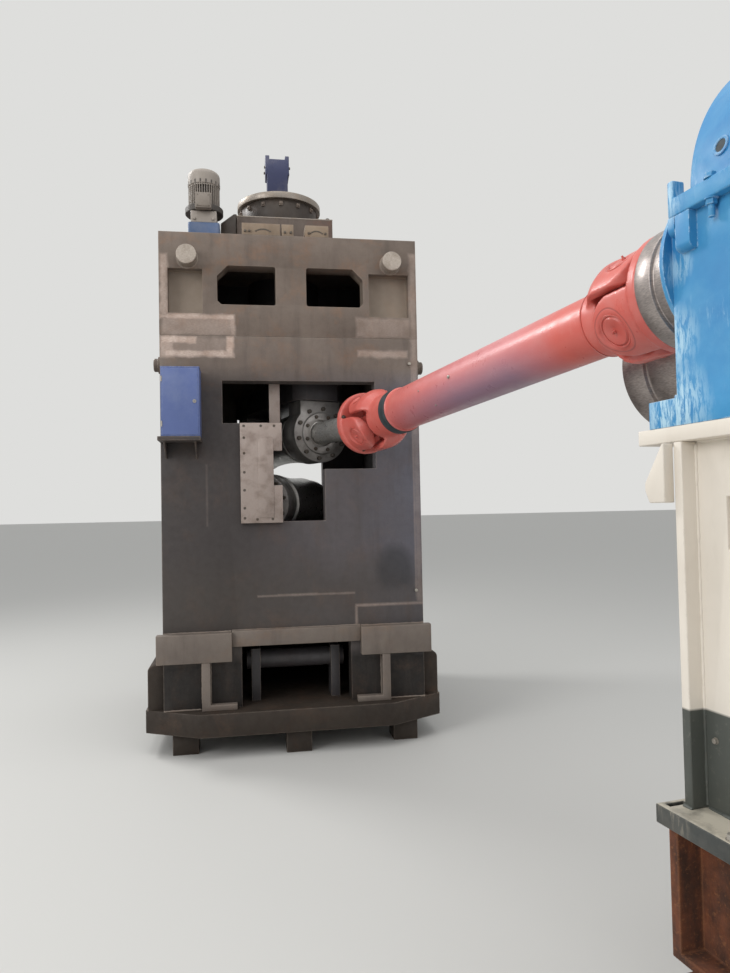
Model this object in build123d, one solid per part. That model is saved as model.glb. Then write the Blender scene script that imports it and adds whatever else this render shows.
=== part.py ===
from build123d import *
import math
import os

# A two-roll straightening machine for steel bars and tubes. All lengths are in millimetres, angles in degrees.
# The origin is on the floor under the middle of the stand. +X is to the right of the operator,
# +Y runs away from the operator along the bar's pass line, and +Z is up.

# Welded stand
frame_width = 1984.0
frame_depth = 2200.0
plate_thick = 150.0
side_thick = 120.0

# Base slab and feet
slab_bottom = 165.0
slab_thick = 170.0
slab_front_reach = 150.0
slab_front_width = 1440.0
slab_side_reach = 138.0
slab_chamfer_depth = 230.0
foot_size = 190.0
foot_inset = 60.0

# The stand's storeys, from the slab up
deck_over_slab = 822.0
lower_roll_over_deck = 709.0
roll_spacing = 570.0
seam_over_roll = 706.0
head_height = 788.0

# Head windows, measured from the middle plane of the stand and from the seam
window_inner = 118.0
window_outer = 562.0
window_over_seam = 242.0
window_height = 300.0
window_chamfer = 82.0
window_low_chamfer = 30.0
window_round = 18.0

# Recessed corner panels of the head
panel_depth = 100.0
panel_edge = 65.0
panel_inner_left = 672.0
panel_inner_right = 610.0
panel_over_seam = 169.0
panel_height = 341.0

# Stepped roll opening in the lower front plate
opening_left = 535.0
opening_right = 640.0
opening_over_upper = 364.0
opening_step_over_upper = 40.0
opening_step_over_lower = 254.0
opening_under_lower = 144.0
opening_low_left = 160.0
opening_low_right = 236.0
rear_opening_half = 440.0

# Lower window, ledge and corner blocks
lower_window_half = 415.0
lower_window_height = 457.0
ledge_height = 118.0
ledge_proud = 34.0
block_inner = 488.0
block_overhang = 44.0
block_under_ledge = 102.0
block_height = 214.0
block_proud = 70.0
rib_inner = 648.0
rib_width = 62.0
rib_pad_reach = 195.0
rib_pad_thick = 42.0
rib_proud = 66.0
wing_reach = 120.0
wing_height = 333.0
wing_round = 46.0
wing_inset = 60.0

# Decks inside the stand
lower_deck_thick = 160.0
head_floor_thick = 220.0
head_deck_thick = 80.0
cross_web_thick = 80.0
nut_housing_radius = 320.0

# Lifting bars and side screw ends
trunnion_radius = 75.0
trunnion_reach = 100.0
trunnion_inset = 210.0
trunnion_under_top = 200.0
stub_radius = 50.0
stub_reach = 48.0
stub_under_seam = 219.0
stub_inset = 70.0
stub_collar = 64.0
stub_collar_reach = 14.0

# Machined guide plate beside the opening
guide_left = 407.0
guide_right = 92.0
guide_under_lower = 152.0
guide_over_upper = 37.0
guide_thick = 42.0
guide_notch = 158.0
guide_notch_over_lower = 131.0
guide_notch_under_upper = 175.0
guide_step_left = 272.0
guide_step_thick = 5.0
guide_step_over_foot = 40.0
guide_step_over_notch = 90.0
guide_bar_left = 178.0
guide_bar_width = 84.0
guide_bar_thick = 40.0
guide_bar_over_upper = 46.0

# Rolls: both axes cross the pass line, skewed in plan, the upper one to the right at the front
roll_skew = 20.0
roll_half_length = 450.0
roll_waist_radius = 205.0
roll_end_radius = 228.0
lower_waist_radius = 236.0
lower_end_radius = 250.0
roll_lip = 24.0
shaft_radius = 105.0
shaft_neck_radius = 92.0
chuck_radius = 240.0
chuck_start = 500.0
chuck_length = 240.0
journal_play = 0.6
chuck_cover_radius = 170.0
chuck_cover_thick = 22.0
saddle_width = 460.0
saddle_half_length = 780.0
saddle_chamfer = 90.0
saddle_thick = 200.0
saddle_gap = 30.0
chuck_seat_width = 360.0
ram_radius = 190.0
ram_gap = 8.0
lower_seat_radius = 420.0

# Universal joint shaft
joint_reach = 1660.0
joint_phase = 35.0
yoke_reach = 145.0
yoke_radius = 225.0
yoke_flange = 52.0
ear_radius = 212.0
ear_tip = 112.0
ear_round = 138.0
ear_half_angle = 41.0
ear_gap_half = 132.0
cap_radius = 75.0
cap_recess = 16.0
tube_radius = 137.0
sleeve_radius = 148.0
sleeve_length = 215.0
collar_length = 90.0
shoulder_start = 100.0
shoulder_middle = 140.0
shoulder_middle_radius = 196.0
shoulder_end = 196.0
seal_radius = 152.0
seal_length = 84.0
cross_core = 84.0
cross_arm_radius = 52.0
cross_tip = 160.0
cross_tip_play = 0.6
yoke_bore_radius = 78.0

# Gearbox, placed by the joint at its output hub
drive_joint_x = 1187.0
drive_joint_y = -4120.0
drive_joint_rise = 144.0
drive_turn = 8.0
hub_radius = 227.0
hub_groove_width = 18.0
hub_groove_depth = 14.0
hub_groove_place = 80.0
second_hub_radius = 295.0
second_hub_reach = 500.0
second_hub_v = 530.0
second_hub_drop = 145.0
second_groove_place = 145.0
second_groove_width = 34.0
second_shaft_radius = 180.0
second_groove_depth = 16.0
second_hub_chamfer = 6.0
second_shoulder = 190.0
second_cone = 60.0
shaft_depth = 100.0
shaft_play = 0.6
shaft_end_gap = 6.0
output_shaft_radius = 110.0
case_end = 420.0
case_length = 900.0
case_left = 250.0
case_right = 950.0
case_foot_drop = 524.0
case_foot_thick = 90.0
case_foot_reach = 135.0
case_split_rise = 134.0
split_thick = 60.0
split_proud = 32.0
split_set_back = 21.0
cover_centre_v = 350.0
cover_centre_rise = 220.0
cover_radius = 550.0
cover_inset = 30.0
lug_width = 62.0
lug_height = 118.0
lug_proud = 30.0
lug_places = (50.0, 330.0, 640.0)
corner_lug_width = 28.0
corner_lug_height = 60.0
end_rib_width = 48.0
end_rib_thick = 26.0
end_rib_height = 58.0

# Pedestal under the gearbox
pedestal_plate_thick = 52.0
pedestal_plate_reach = 224.0
pedestal_plate_back = 170.0
pedestal_end = 395.0
pedestal_length = 950.0
pedestal_left = 250.0
pedestal_right = 950.0
pedestal_end_plate = 36.0
pedestal_recess = 58.0
pedestal_base_top = 838.0
pedestal_base_thick = 60.0
pedestal_base_side = 72.0
pedestal_base_reach = 50.0
pedestal_slot_side = 10.0
pedestal_slot_inset = 26.0
pedestal_slot_length = 70.0
pedestal_slot_width = 22.0
pedestal_hole_from = 192.0
pedestal_hole_length = 420.0
pedestal_hole_drop = 180.0
pedestal_hole_height = 164.0
hook_reach = 94.0
hook_height = 192.0
hook_drop = 4.0
hook_thick = 40.0
hook_root = 8.0
hook_nose_high = 66.0
hook_nose_low = 40.0
hook_nose_cut = 20.0
hook_notch_radius = 28.0
hook_notch_inset = 6.0
beam_low_height = 340.0
beam_width = 200.0
beam_flange = 26.0
beam_web = 20.0
beam_end_plate = 40.0
beam_overhang = 55.0
beam_inset = 20.0
floor_beam_inset = 130.0

# Screw-down gear on the head
gear_box_half = 408.0
gear_box_height = 387.0
gear_box_front = 500.0
wheel_x = -25.0
wheel_case_radius = 350.0
wheel_case_height = 225.0
wheel_flange_radius = 378.0
wheel_flange_thick = 58.0
seat_block_height = 91.0
seat_block_depth = 130.0
seat_block_inset = 2.0
seat_blocks_x = ((-369.0, -77.0), (-65.0, 27.0), (117.0, 300.0))
balance_x = -38.0
balance_width = 186.0
balance_depth = 190.0
balance_height = 448.0
balance_ear_width = 36.0
balance_ear_rise = 32.0
balance_ear_drop = 175.0
balance_ear_proud = 14.0
motor_inset = 320.0
motor_set_back = 500.0
reducer_width = 254.0
reducer_depth = 264.0
reducer_height = 226.0
reducer_round = 24.0
adapter_width = 208.0
adapter_depth = 240.0
adapter_height = 101.0
motor_flange_radius = 154.0
motor_flange_flat = 142.0
motor_flange_thick = 52.0
motor_body_radius = 110.0
motor_fin_radius = 127.0
motor_fin_count = 24
motor_fin_thick = 7.0
motor_body_height = 177.0
fan_cover_radius = 130.0
fan_cover_height = 125.0
fan_cover_round = 40.0
terminal_width = 128.0
terminal_reach = 200.0
terminal_under_body = 61.0
terminal_height = 124.0
worm_case_low_height = 318.0
worm_case_height = 406.0
worm_case_flat = 24.0
worm_case_width = 230.0
worm_case_set_back = 20.0

# Electrical box on the left of the front plate
box_edge = 27.0
box_width = 274.0
box_under_upper = 80.0
box_height = 506.0
box_depth = 220.0
box_round = 8.0
shelf_thick = 30.0
shelf_proud = 26.0
shelf_lip = 4.0
bracket_inset = 20.0
bracket_set_back = 60.0
bracket_height = 120.0
bracket_thick = 12.0

# Lower adjusting shaft behind the lower window
adjust_radius = 74.0
adjust_height = 305.0
adjust_behind = 260.0
adjust_half = 380.0
adjust_bracket = 70.0
adjust_bracket_thick = 70.0
adjust_bracket_half = 95.0

# Sizes and heights worked out from the ones above
half_width = frame_width / 2
half_depth = frame_depth / 2
wall_inside = half_width - side_thick
plate_back = half_depth - plate_thick
slab_top = slab_bottom + slab_thick
lower_window_high = slab_top + lower_window_height
block_low = lower_window_high - block_under_ledge
lower_deck_top = slab_top + deck_over_slab
lower_roll_height = lower_deck_top + lower_roll_over_deck
upper_roll_height = lower_roll_height + roll_spacing
seam_height = upper_roll_height + seam_over_roll
frame_top = seam_height + head_height
head_floor_top = seam_height + head_floor_thick
head_deck_low = frame_top - head_deck_thick
saddle_low = upper_roll_height + chuck_radius + saddle_gap
saddle_high = saddle_low + saddle_thick
lower_saddle_high = lower_roll_height - chuck_radius - saddle_gap
lower_saddle_low = lower_saddle_high - saddle_thick
hub_face = yoke_reach + yoke_flange
drive_joint_z = upper_roll_height + drive_joint_rise
second_hub_z = drive_joint_z - second_hub_drop
case_foot_low = drive_joint_z - case_foot_drop
case_split = drive_joint_z + case_split_rise
cover_centre_z = drive_joint_z + cover_centre_rise
pedestal_plate_low = case_foot_low - pedestal_plate_thick
hook_top = pedestal_plate_low - hook_drop
beam_top = pedestal_base_top - pedestal_base_thick
gear_box_top = frame_top + gear_box_height
wheel_case_top = gear_box_top + wheel_case_height
reducer_top = frame_top + reducer_height
motor_x = motor_inset - half_width
motor_y = motor_set_back - half_depth
motor_body_low = reducer_top + adapter_height + motor_flange_thick
motor_body_top = motor_body_low + motor_body_height
box_low = upper_roll_height - box_under_upper


def block(x0, x1, y0, y1, z0, z1):
    """A box between two corners."""
    return Pos((x0 + x1) / 2, (y0 + y1) / 2, (z0 + z1) / 2) * Box(abs(x1 - x0), abs(y1 - y0), abs(z1 - z0))


def turned(outline):
    """A solid of revolution about Z from (radius, height) points."""
    face = make_face(Plane.XZ * Polyline(*outline, close=True))
    return revolve(face, Axis.Z, 360)


def upright_plate(points, thickness, y_front):
    """A plate cut to an outline in X and Z, its front at y_front, its back towards +Y."""
    face = make_face(Plane.XZ * Polyline(*points, close=True))
    return Pos(0, y_front, 0) * extrude(face, thickness, dir=(0, 1, 0))


def half_turn(shape):
    """The same piece on the other side of the machine, turned about the vertical middle line."""
    return Rot(0, 0, 180) * shape


def roll_frame(skew, height):
    """The place of a roll: local Z runs along the axis to the front, local Y is up."""
    angle = math.radians(skew)
    along = Vector(math.sin(angle), -math.cos(angle), 0)
    across = Vector(math.cos(angle), math.sin(angle), 0)
    return Plane(origin=(0, 0, height), x_dir=across, z_dir=along).location


def drive_frame():
    """The gearbox's own axes: local X to its right, local Y towards the machine, from the floor up."""
    return Pos(drive_joint_x, drive_joint_y, 0) * Rot(0, 0, drive_turn)


def machine_joint():
    """The middle of the universal joint at the upper roll."""
    angle = math.radians(roll_skew)
    return Vector(joint_reach * math.sin(angle), -joint_reach * math.cos(angle), upper_roll_height)


def drive_joint():
    """The middle of the universal joint at the gearbox."""
    return Vector(drive_joint_x, drive_joint_y, drive_joint_z)


def shaft_frame(origin, towards):
    """A place on the joint shaft: local Z points along the shaft, local X lies level."""
    along = (towards - origin).normalized()
    across = Vector(0, 0, 1).cross(along).normalized()
    return Plane(origin=origin, x_dir=across, z_dir=along).location


# Stand

def base_slab():
    """The base of the stand, with its four corners cut back."""
    front = half_depth + slab_front_reach
    side = half_width + slab_side_reach
    corner = slab_front_width / 2
    back = front - slab_chamfer_depth
    quarter = [(corner, front), (side, back)]
    outline = [(x, y) for x, y in quarter]
    outline += [(x, -y) for x, y in reversed(quarter)]
    outline += [(-x, -y) for x, y in quarter]
    outline += [(-x, y) for x, y in reversed(quarter)]
    slab = Pos(0, 0, slab_bottom) * extrude(make_face(Polyline(*outline, close=True)), slab_thick)
    return slab


def base_feet():
    """Nine feet between the floor and the slab."""
    feet = []
    side = half_width - foot_inset - foot_size / 2
    for x in (-1, 0, 1):
        for y in (-1, 0, 1):
            reach = half_depth + slab_front_reach - foot_inset - foot_size / 2
            if x:
                reach -= slab_chamfer_depth / 2
            foot = Pos(x * side, y * reach, slab_bottom / 2) * Box(foot_size, foot_size, slab_bottom)
            feet.append(foot)
    return feet


def side_wings():
    """The lower boxes that widen the stand at the floor, with a rounded top edge."""
    wings = []
    for side in (-1, 1):
        wing = block(half_width, half_width + wing_reach, -half_depth + wing_inset, half_depth - wing_inset,
                     slab_top, slab_top + wing_height)
        edge = wing.edges().filter_by(Axis.Y).group_by(Axis.Z)[-1].sort_by(Axis.X)[-1]
        wing = fillet(edge, wing_round)
        if side < 0:
            wing = half_turn(wing)
        wings.append(wing)
    return wings


def opening_outline():
    """The stepped roll opening, seen from the front."""
    high = upper_roll_height + opening_over_upper
    left_step = upper_roll_height + opening_step_over_upper
    right_step = lower_roll_height + opening_step_over_lower
    low = lower_roll_height - opening_under_lower
    return [
        (-opening_left, high),
        (opening_right, high),
        (opening_right, right_step),
        (opening_low_right, right_step),
        (opening_low_right, low),
        (-opening_low_left, low),
        (-opening_low_left, left_step),
        (-opening_left, left_step),
    ]


def rear_opening_outline():
    """The plain roll opening of the rear plate."""
    high = upper_roll_height + opening_over_upper
    low = lower_roll_height - opening_under_lower
    half = rear_opening_half
    return [(-half, low), (half, low), (half, high), (-half, high)]


def lower_plate(opening):
    """A plate below the seam with its roll opening."""
    plate = block(-half_width, half_width, -half_depth, -plate_back, slab_top, seam_height)
    return plate - upright_plate(opening, plate_thick, -half_depth)


def lower_window():
    """The window in the front plate, before the adjusting shaft."""
    return block(-lower_window_half, lower_window_half, -half_depth, -plate_back,
                 slab_top, lower_window_high)


def side_wall(side):
    """One side wall of the stand, from the slab to the top."""
    return block(side * wall_inside, side * half_width, -plate_back, plate_back, slab_top, frame_top)


def lower_deck():
    """The deck that carries the lower roll."""
    low = lower_deck_top - lower_deck_thick
    return block(-wall_inside, wall_inside, -plate_back, plate_back, low, lower_deck_top)


def ledge():
    """The light ledge bar above the lower window."""
    low = lower_window_high
    return block(-block_inner, block_inner, -half_depth - ledge_proud, -half_depth, low, low + ledge_height)


def corner_blocks():
    """The two heavy blocks at the ends of the ledge, standing out past the sides."""
    blocks = []
    for side in (-1, 1):
        inner = side * block_inner
        outer = side * (half_width + block_overhang)
        front = -half_depth - block_proud
        blocks.append(block(inner, outer, front, -half_depth, block_low, block_low + block_height))
    return blocks


def foot_ribs():
    """The upright ribs from the slab to the corner blocks, each on a small foot plate."""
    ribs = []
    for side in (-1, 1):
        inner = side * rib_inner
        outer = side * (rib_inner + rib_width)
        rib = block(inner, outer, -half_depth - rib_proud, -half_depth, slab_top, block_low)
        pad_inner = side * (rib_inner - rib_pad_reach)
        rib += block(pad_inner, outer, -half_depth - rib_proud, -half_depth, slab_top, slab_top + rib_pad_thick)
        ribs.append(rib)
    return ribs


def head_window(side):
    """The outline of one head window, its outer corners cut off."""
    window_low = seam_height + window_over_seam
    window_high = window_low + window_height
    inner = side * window_inner
    outer = side * window_outer
    high_cut = side * (window_outer - window_chamfer)
    low_cut = side * (window_outer - window_low_chamfer)
    return [
        (inner, window_low),
        (inner, window_high),
        (high_cut, window_high),
        (outer, window_high - window_chamfer),
        (outer, window_low + window_low_chamfer),
        (low_cut, window_low),
    ]


def head_plate():
    """The front plate of the head, with two windows and two recessed corner panels."""
    plate = block(-half_width, half_width, -half_depth, -plate_back, seam_height, frame_top)
    for side in (-1, 1):
        hole = upright_plate(head_window(side), plate_thick, -half_depth)
        corners = hole.edges().filter_by(Axis.Y)
        hole = fillet(corners, window_round)
        plate -= hole
    low = seam_height + panel_over_seam
    high = low + panel_height
    outer = half_width - panel_edge
    plate -= block(-outer, -panel_inner_left, -half_depth, panel_depth - half_depth, low, high)
    plate -= block(panel_inner_right, outer, -half_depth, panel_depth - half_depth, low, high)
    return plate


def head_floor():
    """The heavy crosshead that guides the ram."""
    floor = block(-wall_inside, wall_inside, -plate_back, plate_back, seam_height, head_floor_top)
    bore = Pos(0, 0, seam_height + head_floor_thick / 2) * Cylinder(ram_radius + ram_gap, head_floor_thick)
    return floor - bore


def head_deck():
    """The top deck."""
    return block(-wall_inside, wall_inside, -plate_back, plate_back, head_deck_low, frame_top)


def nut_housing():
    """The round housing of the screw-down nut inside the head, braced to the walls by two webs."""
    height = head_deck_low - head_floor_top
    housing = Pos(0, 0, head_floor_top + height / 2) * Cylinder(nut_housing_radius, height)
    web_back = cross_web_thick / 2
    web = block(-wall_inside, wall_inside, -web_back, web_back, head_floor_top, head_deck_low)
    return housing + web


def lifting_trunnions():
    """Four round lifting bars, two on the front and two on the back of the head."""
    bars = []
    for side in (-1, 1):
        for face in (-1, 1):
            bar = Rot(90, 0, 0) * Cylinder(trunnion_radius, trunnion_reach)
            bar = chamfer(bar.edges().filter_by(GeomType.CIRCLE).sort_by(Axis.Y)[0], 5)
            if face > 0:
                bar = half_turn(bar)
            x = side * (half_width - trunnion_inset)
            y = face * (half_depth + trunnion_reach / 2)
            bars.append(Pos(x, y, frame_top - trunnion_under_top) * bar)
    return bars


def side_stubs():
    """The ends of the side clamping screws, each on a collar."""
    stubs = []
    for side in (-1, 1):
        for y in (stub_inset - half_depth, half_depth - stub_inset):
            stub = turned([
                (0, 0), (stub_collar, 0), (stub_collar, stub_collar_reach),
                (stub_radius, stub_collar_reach), (stub_radius, stub_reach - 6),
                (stub_radius - 6, stub_reach), (0, stub_reach),
            ])
            place = Pos(side * half_width, y, seam_height - stub_under_seam)
            stubs.append(place * Rot(0, 90 * side, 0) * stub)
    return stubs


def guide_plate():
    """The machined plate that carries the entry guide, notched beside the rolls."""
    guide_low = lower_roll_height - guide_under_lower
    guide_high = upper_roll_height + guide_over_upper
    guide_notch_low = lower_roll_height + guide_notch_over_lower
    guide_notch_high = upper_roll_height - guide_notch_under_upper
    outline = [
        (-guide_left, guide_low),
        (-guide_right, guide_low),
        (-guide_right, guide_notch_low),
        (-guide_notch, guide_notch_low),
        (-guide_notch, guide_notch_high),
        (-guide_right, guide_notch_high),
        (-guide_right, guide_high),
        (-guide_left, guide_high),
    ]
    plate = upright_plate(outline, guide_thick, -half_depth - guide_thick)
    step = block(-guide_step_left, -guide_notch, -half_depth - guide_thick - guide_step_thick,
                 -half_depth - guide_thick, guide_low + guide_step_over_foot,
                 guide_notch_high + guide_step_over_notch)
    return plate + step


def guide_bar():
    """The upright gib that hangs beside the upper roll."""
    x0 = -guide_bar_left
    low = upper_roll_height + guide_bar_over_upper
    return block(x0, x0 + guide_bar_width, -plate_back, -plate_back + guide_bar_thick, low, seam_height)


# Rolls

def roll_body(waist, end):
    """The concave body of a roll, its axis on local Z, the driven end towards +Z."""
    chord = roll_half_length - roll_lip
    arc = ThreePointArc((end, -chord), (waist, 0), (end, chord))
    outline = Polyline((end, chord), (end, roll_half_length), (0, roll_half_length),
                       (0, -roll_half_length), (end, -roll_half_length), (end, -chord))
    face = make_face(Plane.XZ * (arc + outline))
    return revolve(face, Axis.Z, 360)


def upper_roll():
    """The upper roll with its journals and the long neck to the joint."""
    body = roll_body(roll_waist_radius, roll_end_radius)
    rear = chuck_start + chuck_length
    front = joint_reach - hub_face
    journal = Cylinder(shaft_radius, 2 * rear)
    neck = Pos(0, 0, (rear + front) / 2) * Cylinder(shaft_neck_radius, front - rear)
    return roll_frame(roll_skew, upper_roll_height) * (body + journal + neck)


def lower_roll():
    """The lower roll, skewed the other way, its journals inside the chucks."""
    body = roll_body(lower_waist_radius, lower_end_radius)
    journal = Cylinder(shaft_radius, 2 * (chuck_start + chuck_length))
    return roll_frame(-roll_skew, lower_roll_height) * (body + journal)


def chuck(towards_saddle, end):
    """A bearing chuck round a roll journal, with a flat seat and a bolted cover, on local Z."""
    bore = shaft_radius + journal_play
    place = end * (chuck_start + chuck_length / 2)
    body = Cylinder(chuck_radius, chuck_length)
    seat = Pos(0, towards_saddle * (chuck_radius + saddle_gap) / 2, 0)
    body += seat * Box(chuck_seat_width, chuck_radius + saddle_gap, chuck_length)
    cover_z = end * (chuck_length + chuck_cover_thick) / 2
    body += Pos(0, 0, cover_z) * Cylinder(chuck_cover_radius, chuck_cover_thick)
    body -= Cylinder(bore, 2 * chuck_length)
    return Pos(0, 0, place) * body


def saddle(skew, low, high):
    """The beam that holds both chucks of a roll, with its ends tapered."""
    beam = Box(saddle_width, 2 * saddle_half_length, high - low)
    beam = chamfer(beam.edges().filter_by(Axis.Z), saddle_chamfer)
    return Pos(0, 0, (low + high) / 2) * Rot(0, 0, skew) * beam


def post(radius, low, high):
    """An upright round post on the machine's middle line."""
    return Pos(0, 0, (low + high) / 2) * Cylinder(radius, high - low)


def upper_saddle():
    """The upper saddle with the round ram that hangs it in the crosshead."""
    return saddle(roll_skew, saddle_low, saddle_high) + post(ram_radius, saddle_high, head_floor_top)


def lower_saddle():
    """The lower saddle on its round seat."""
    return saddle(-roll_skew, lower_saddle_low, lower_saddle_high) + post(
        lower_seat_radius, lower_deck_top, lower_saddle_low)


# Universal joint shaft

def fork_ears(back, swing):
    """Two forged ears on local X round the joint middle, turned to the swing outline and cut to a wedge."""
    middle = ear_round - ear_tip
    spread = ear_radius * math.tan(math.radians(ear_half_angle))
    wedge = make_face(Polyline((0, 0), (ear_radius, -spread), (ear_radius, spread), close=True))
    slab = Pos(0, 0, (middle + back) / 2) * Box(2 * ear_radius, 2 * ear_round, back - middle)
    slab += Pos(0, 0, middle) * Rot(0, 90, 0) * Cylinder(ear_round, 2 * ear_radius)
    slab &= turned(swing)
    gap_low = -2 * ear_round
    slab -= Pos(0, 0, (yoke_reach + gap_low) / 2) * Box(2 * ear_gap_half, 4 * ear_round, yoke_reach - gap_low)
    ears = None
    for side in (0, 180):
        ear = slab & (Rot(0, 0, side) * Pos(0, 0, -ear_tip) * extrude(wedge, ear_tip + back))
        ear -= Rot(0, 0, side) * Pos(ear_radius - cap_recess / 2, 0, 0) * Rot(0, 90, 0) * Cylinder(
            cap_radius, cap_recess)
        ears = ear if ears is None else ears + ear
    return ears


def flange_yoke():
    """A forked yoke on a round flange, its back at +Z, with a cupped seat in each ear for the cross."""
    swing = [(0, -ear_tip), (ear_radius, -ear_tip), (ear_radius, yoke_reach), (0, yoke_reach)]
    flange = Pos(0, 0, yoke_reach + yoke_flange / 2) * Cylinder(yoke_radius, yoke_flange)
    seats = Rot(0, 90, 0) * Cylinder(yoke_bore_radius, 2 * cross_tip)
    seats &= Sphere(cross_tip)
    return fork_ears(yoke_reach, swing) + flange - seats


def tube_yoke(neck_length):
    """A forked yoke with a round neck, on the tube's end."""
    swing = [
        (0, -ear_tip), (ear_radius, -ear_tip), (ear_radius, shoulder_start),
        (shoulder_middle_radius, shoulder_middle), (sleeve_radius, shoulder_end), (0, shoulder_end),
    ]
    ears = fork_ears(shoulder_end, swing)
    neck = Pos(0, 0, yoke_reach + neck_length / 2) * Cylinder(sleeve_radius, neck_length)
    return ears + neck


def cardan_shaft():
    """The tube with a fork at each end and the sliding sleeve at the machine's end."""
    start = machine_joint()
    end = drive_joint()
    half = (end - start).length / 2
    tube = Pos(0, 0, (yoke_reach + half) / 2) * Cylinder(tube_radius, half - yoke_reach)
    near = Rot(0, 0, 90 + joint_phase) * tube_yoke(sleeve_length)
    far = Rot(0, 0, 90 - joint_phase) * tube_yoke(collar_length)
    return shaft_frame(start, end) * (tube + near) + shaft_frame(end, start) * (tube + far)


def seal_band():
    """The dark seal round the end of the sliding sleeve."""
    ring = Cylinder(seal_radius, seal_length) - Cylinder(tube_radius, 2 * seal_length)
    place = yoke_reach + sleeve_length + seal_length / 2
    return shaft_frame(machine_joint(), drive_joint()) * Pos(0, 0, place) * ring


def cross(origin, towards, turn):
    """A joint cross: two arms against the tube's ears, two with round tips in the flange yoke's seats."""
    tips = Rot(90, 0, 0) * Cylinder(cross_arm_radius, 2 * cross_tip)
    body = Box(2 * cross_core, 2 * cross_core, 1.6 * cross_core)
    body += Rot(0, 90, 0) * Cylinder(cross_arm_radius, 2 * ear_gap_half)
    body += tips & Sphere(cross_tip - cross_tip_play)
    return shaft_frame(origin, towards) * Rot(0, 0, turn) * body


def joint_crosses():
    """The crosses of both universal joints."""
    start = machine_joint()
    end = drive_joint()
    return [cross(start, end, 90 + joint_phase), cross(end, start, 90 - joint_phase)]


def roll_yoke():
    """The flange yoke on the upper roll's neck."""
    place = roll_frame(roll_skew, upper_roll_height) * Pos(0, 0, joint_reach) * Rot(180, 0, 0)
    return place * Rot(0, 0, -joint_phase) * flange_yoke()


def gearbox_yoke():
    """The flange yoke on the gearbox's output hub."""
    place = drive_frame() * Pos(0, 0, drive_joint_z) * Rot(90, 0, 0)
    return place * Rot(0, 0, joint_phase) * flange_yoke()


# Gearbox and pedestal

def output_hub():
    """The bare steel hub between the yoke and the gearbox, with a groove round it and a shaft behind it."""
    length = case_end - hub_face - shaft_end_gap
    groove = hub_groove_place
    outline = [
        (0, 0), (hub_radius, 0), (hub_radius, groove),
        (hub_radius - hub_groove_depth, groove + 4),
        (hub_radius - hub_groove_depth, groove + hub_groove_width),
        (hub_radius, groove + hub_groove_width + 4),
        (hub_radius, length), (output_shaft_radius, length),
        (output_shaft_radius, length + shaft_depth), (0, length + shaft_depth),
    ]
    place = drive_frame() * Pos(0, -hub_face, drive_joint_z) * Rot(90, 0, 0)
    return place * turned(outline)


def second_hub():
    """The larger hub of the second output, which stands free towards the machine."""
    length = second_hub_reach + case_end - shaft_end_gap + shaft_depth
    groove = second_groove_place
    groove_end = groove + second_groove_width
    shoulder = groove_end + second_shoulder
    groove_radius = second_hub_radius - second_groove_depth
    cut = second_hub_chamfer
    outline = [
        (0, 0), (second_hub_radius - cut, 0), (second_hub_radius, cut), (second_hub_radius, groove),
        (groove_radius, groove + cut), (groove_radius, groove_end - cut),
        (second_hub_radius, groove_end), (second_hub_radius, shoulder),
        (second_shaft_radius, shoulder + second_cone), (second_shaft_radius, length), (0, length),
    ]
    place = drive_frame() * Pos(second_hub_v, second_hub_reach, second_hub_z) * Rot(90, 0, 0)
    return place * turned(outline)


def shaft_bore(v, z, radius):
    """The blind bore in the case's end behind a hub."""
    return Pos(v, -case_end - shaft_depth / 2, z) * Rot(90, 0, 0) * Cylinder(radius + shaft_play, shaft_depth)


def case_lug(x, side, proud, near, width, height):
    """A bolt lug under the joint flange, its lower outer edge rounded off."""
    lug = block(x, x + side * proud, near - width, near, case_split - height, case_split)
    low_edges = lug.edges().filter_by(Axis.Y).group_by(Axis.Z)[0].sort_by(Axis.X)
    outer = low_edges[0] if side < 0 else low_edges[-1]
    return fillet(outer, 0.8 * proud)


def gearbox_case():
    """The lower half of the gearbox case with its feet and bolt lugs."""
    end = -case_end
    far = -case_end - case_length
    case = block(-case_left, case_right, far, end, case_foot_low, case_split)
    case += block(-case_left, case_right, far - case_foot_reach, end + case_foot_reach,
                  case_foot_low, case_foot_low + case_foot_thick)
    for side, x in ((-1, -case_left), (1, case_right)):
        for place in lug_places:
            case += case_lug(x, side, lug_proud, end - place, lug_width, lug_height)
        corner = end - split_set_back
        case += case_lug(x, side, split_proud, corner, corner_lug_width, corner_lug_height)
    case -= shaft_bore(0, drive_joint_z, output_shaft_radius)
    case -= shaft_bore(second_hub_v, second_hub_z, second_shaft_radius)
    return drive_frame() * case


def split_flange():
    """The bolted joint flange of the case."""
    far = -case_end - case_length
    flange = block(-case_left - split_proud, case_right + split_proud, far + split_set_back,
                   -case_end - split_set_back, case_split, case_split + split_thick)
    near = -case_end - split_set_back
    top = case_split + split_thick
    for side, x in ((-1, -case_left), (1, case_right)):
        outer = x + side * split_proud
        flange += block(outer - side * end_rib_width, outer, near - end_rib_thick, near, top, top + end_rib_height)
    return drive_frame() * flange


def gearbox_cover():
    """The arched upper half of the case, rounded about the shafts."""
    low = case_split + split_thick
    start = -case_end - cover_inset
    length = case_length - 2 * cover_inset
    arch = Pos(cover_centre_v, start, cover_centre_z) * Rot(90, 0, 0) * Pos(0, 0, length / 2) * Cylinder(
        cover_radius, length)
    keep = block(cover_centre_v - cover_radius, cover_centre_v + cover_radius, start - length, start,
                 low, cover_centre_z + cover_radius)
    return drive_frame() * (arch & keep)


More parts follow.
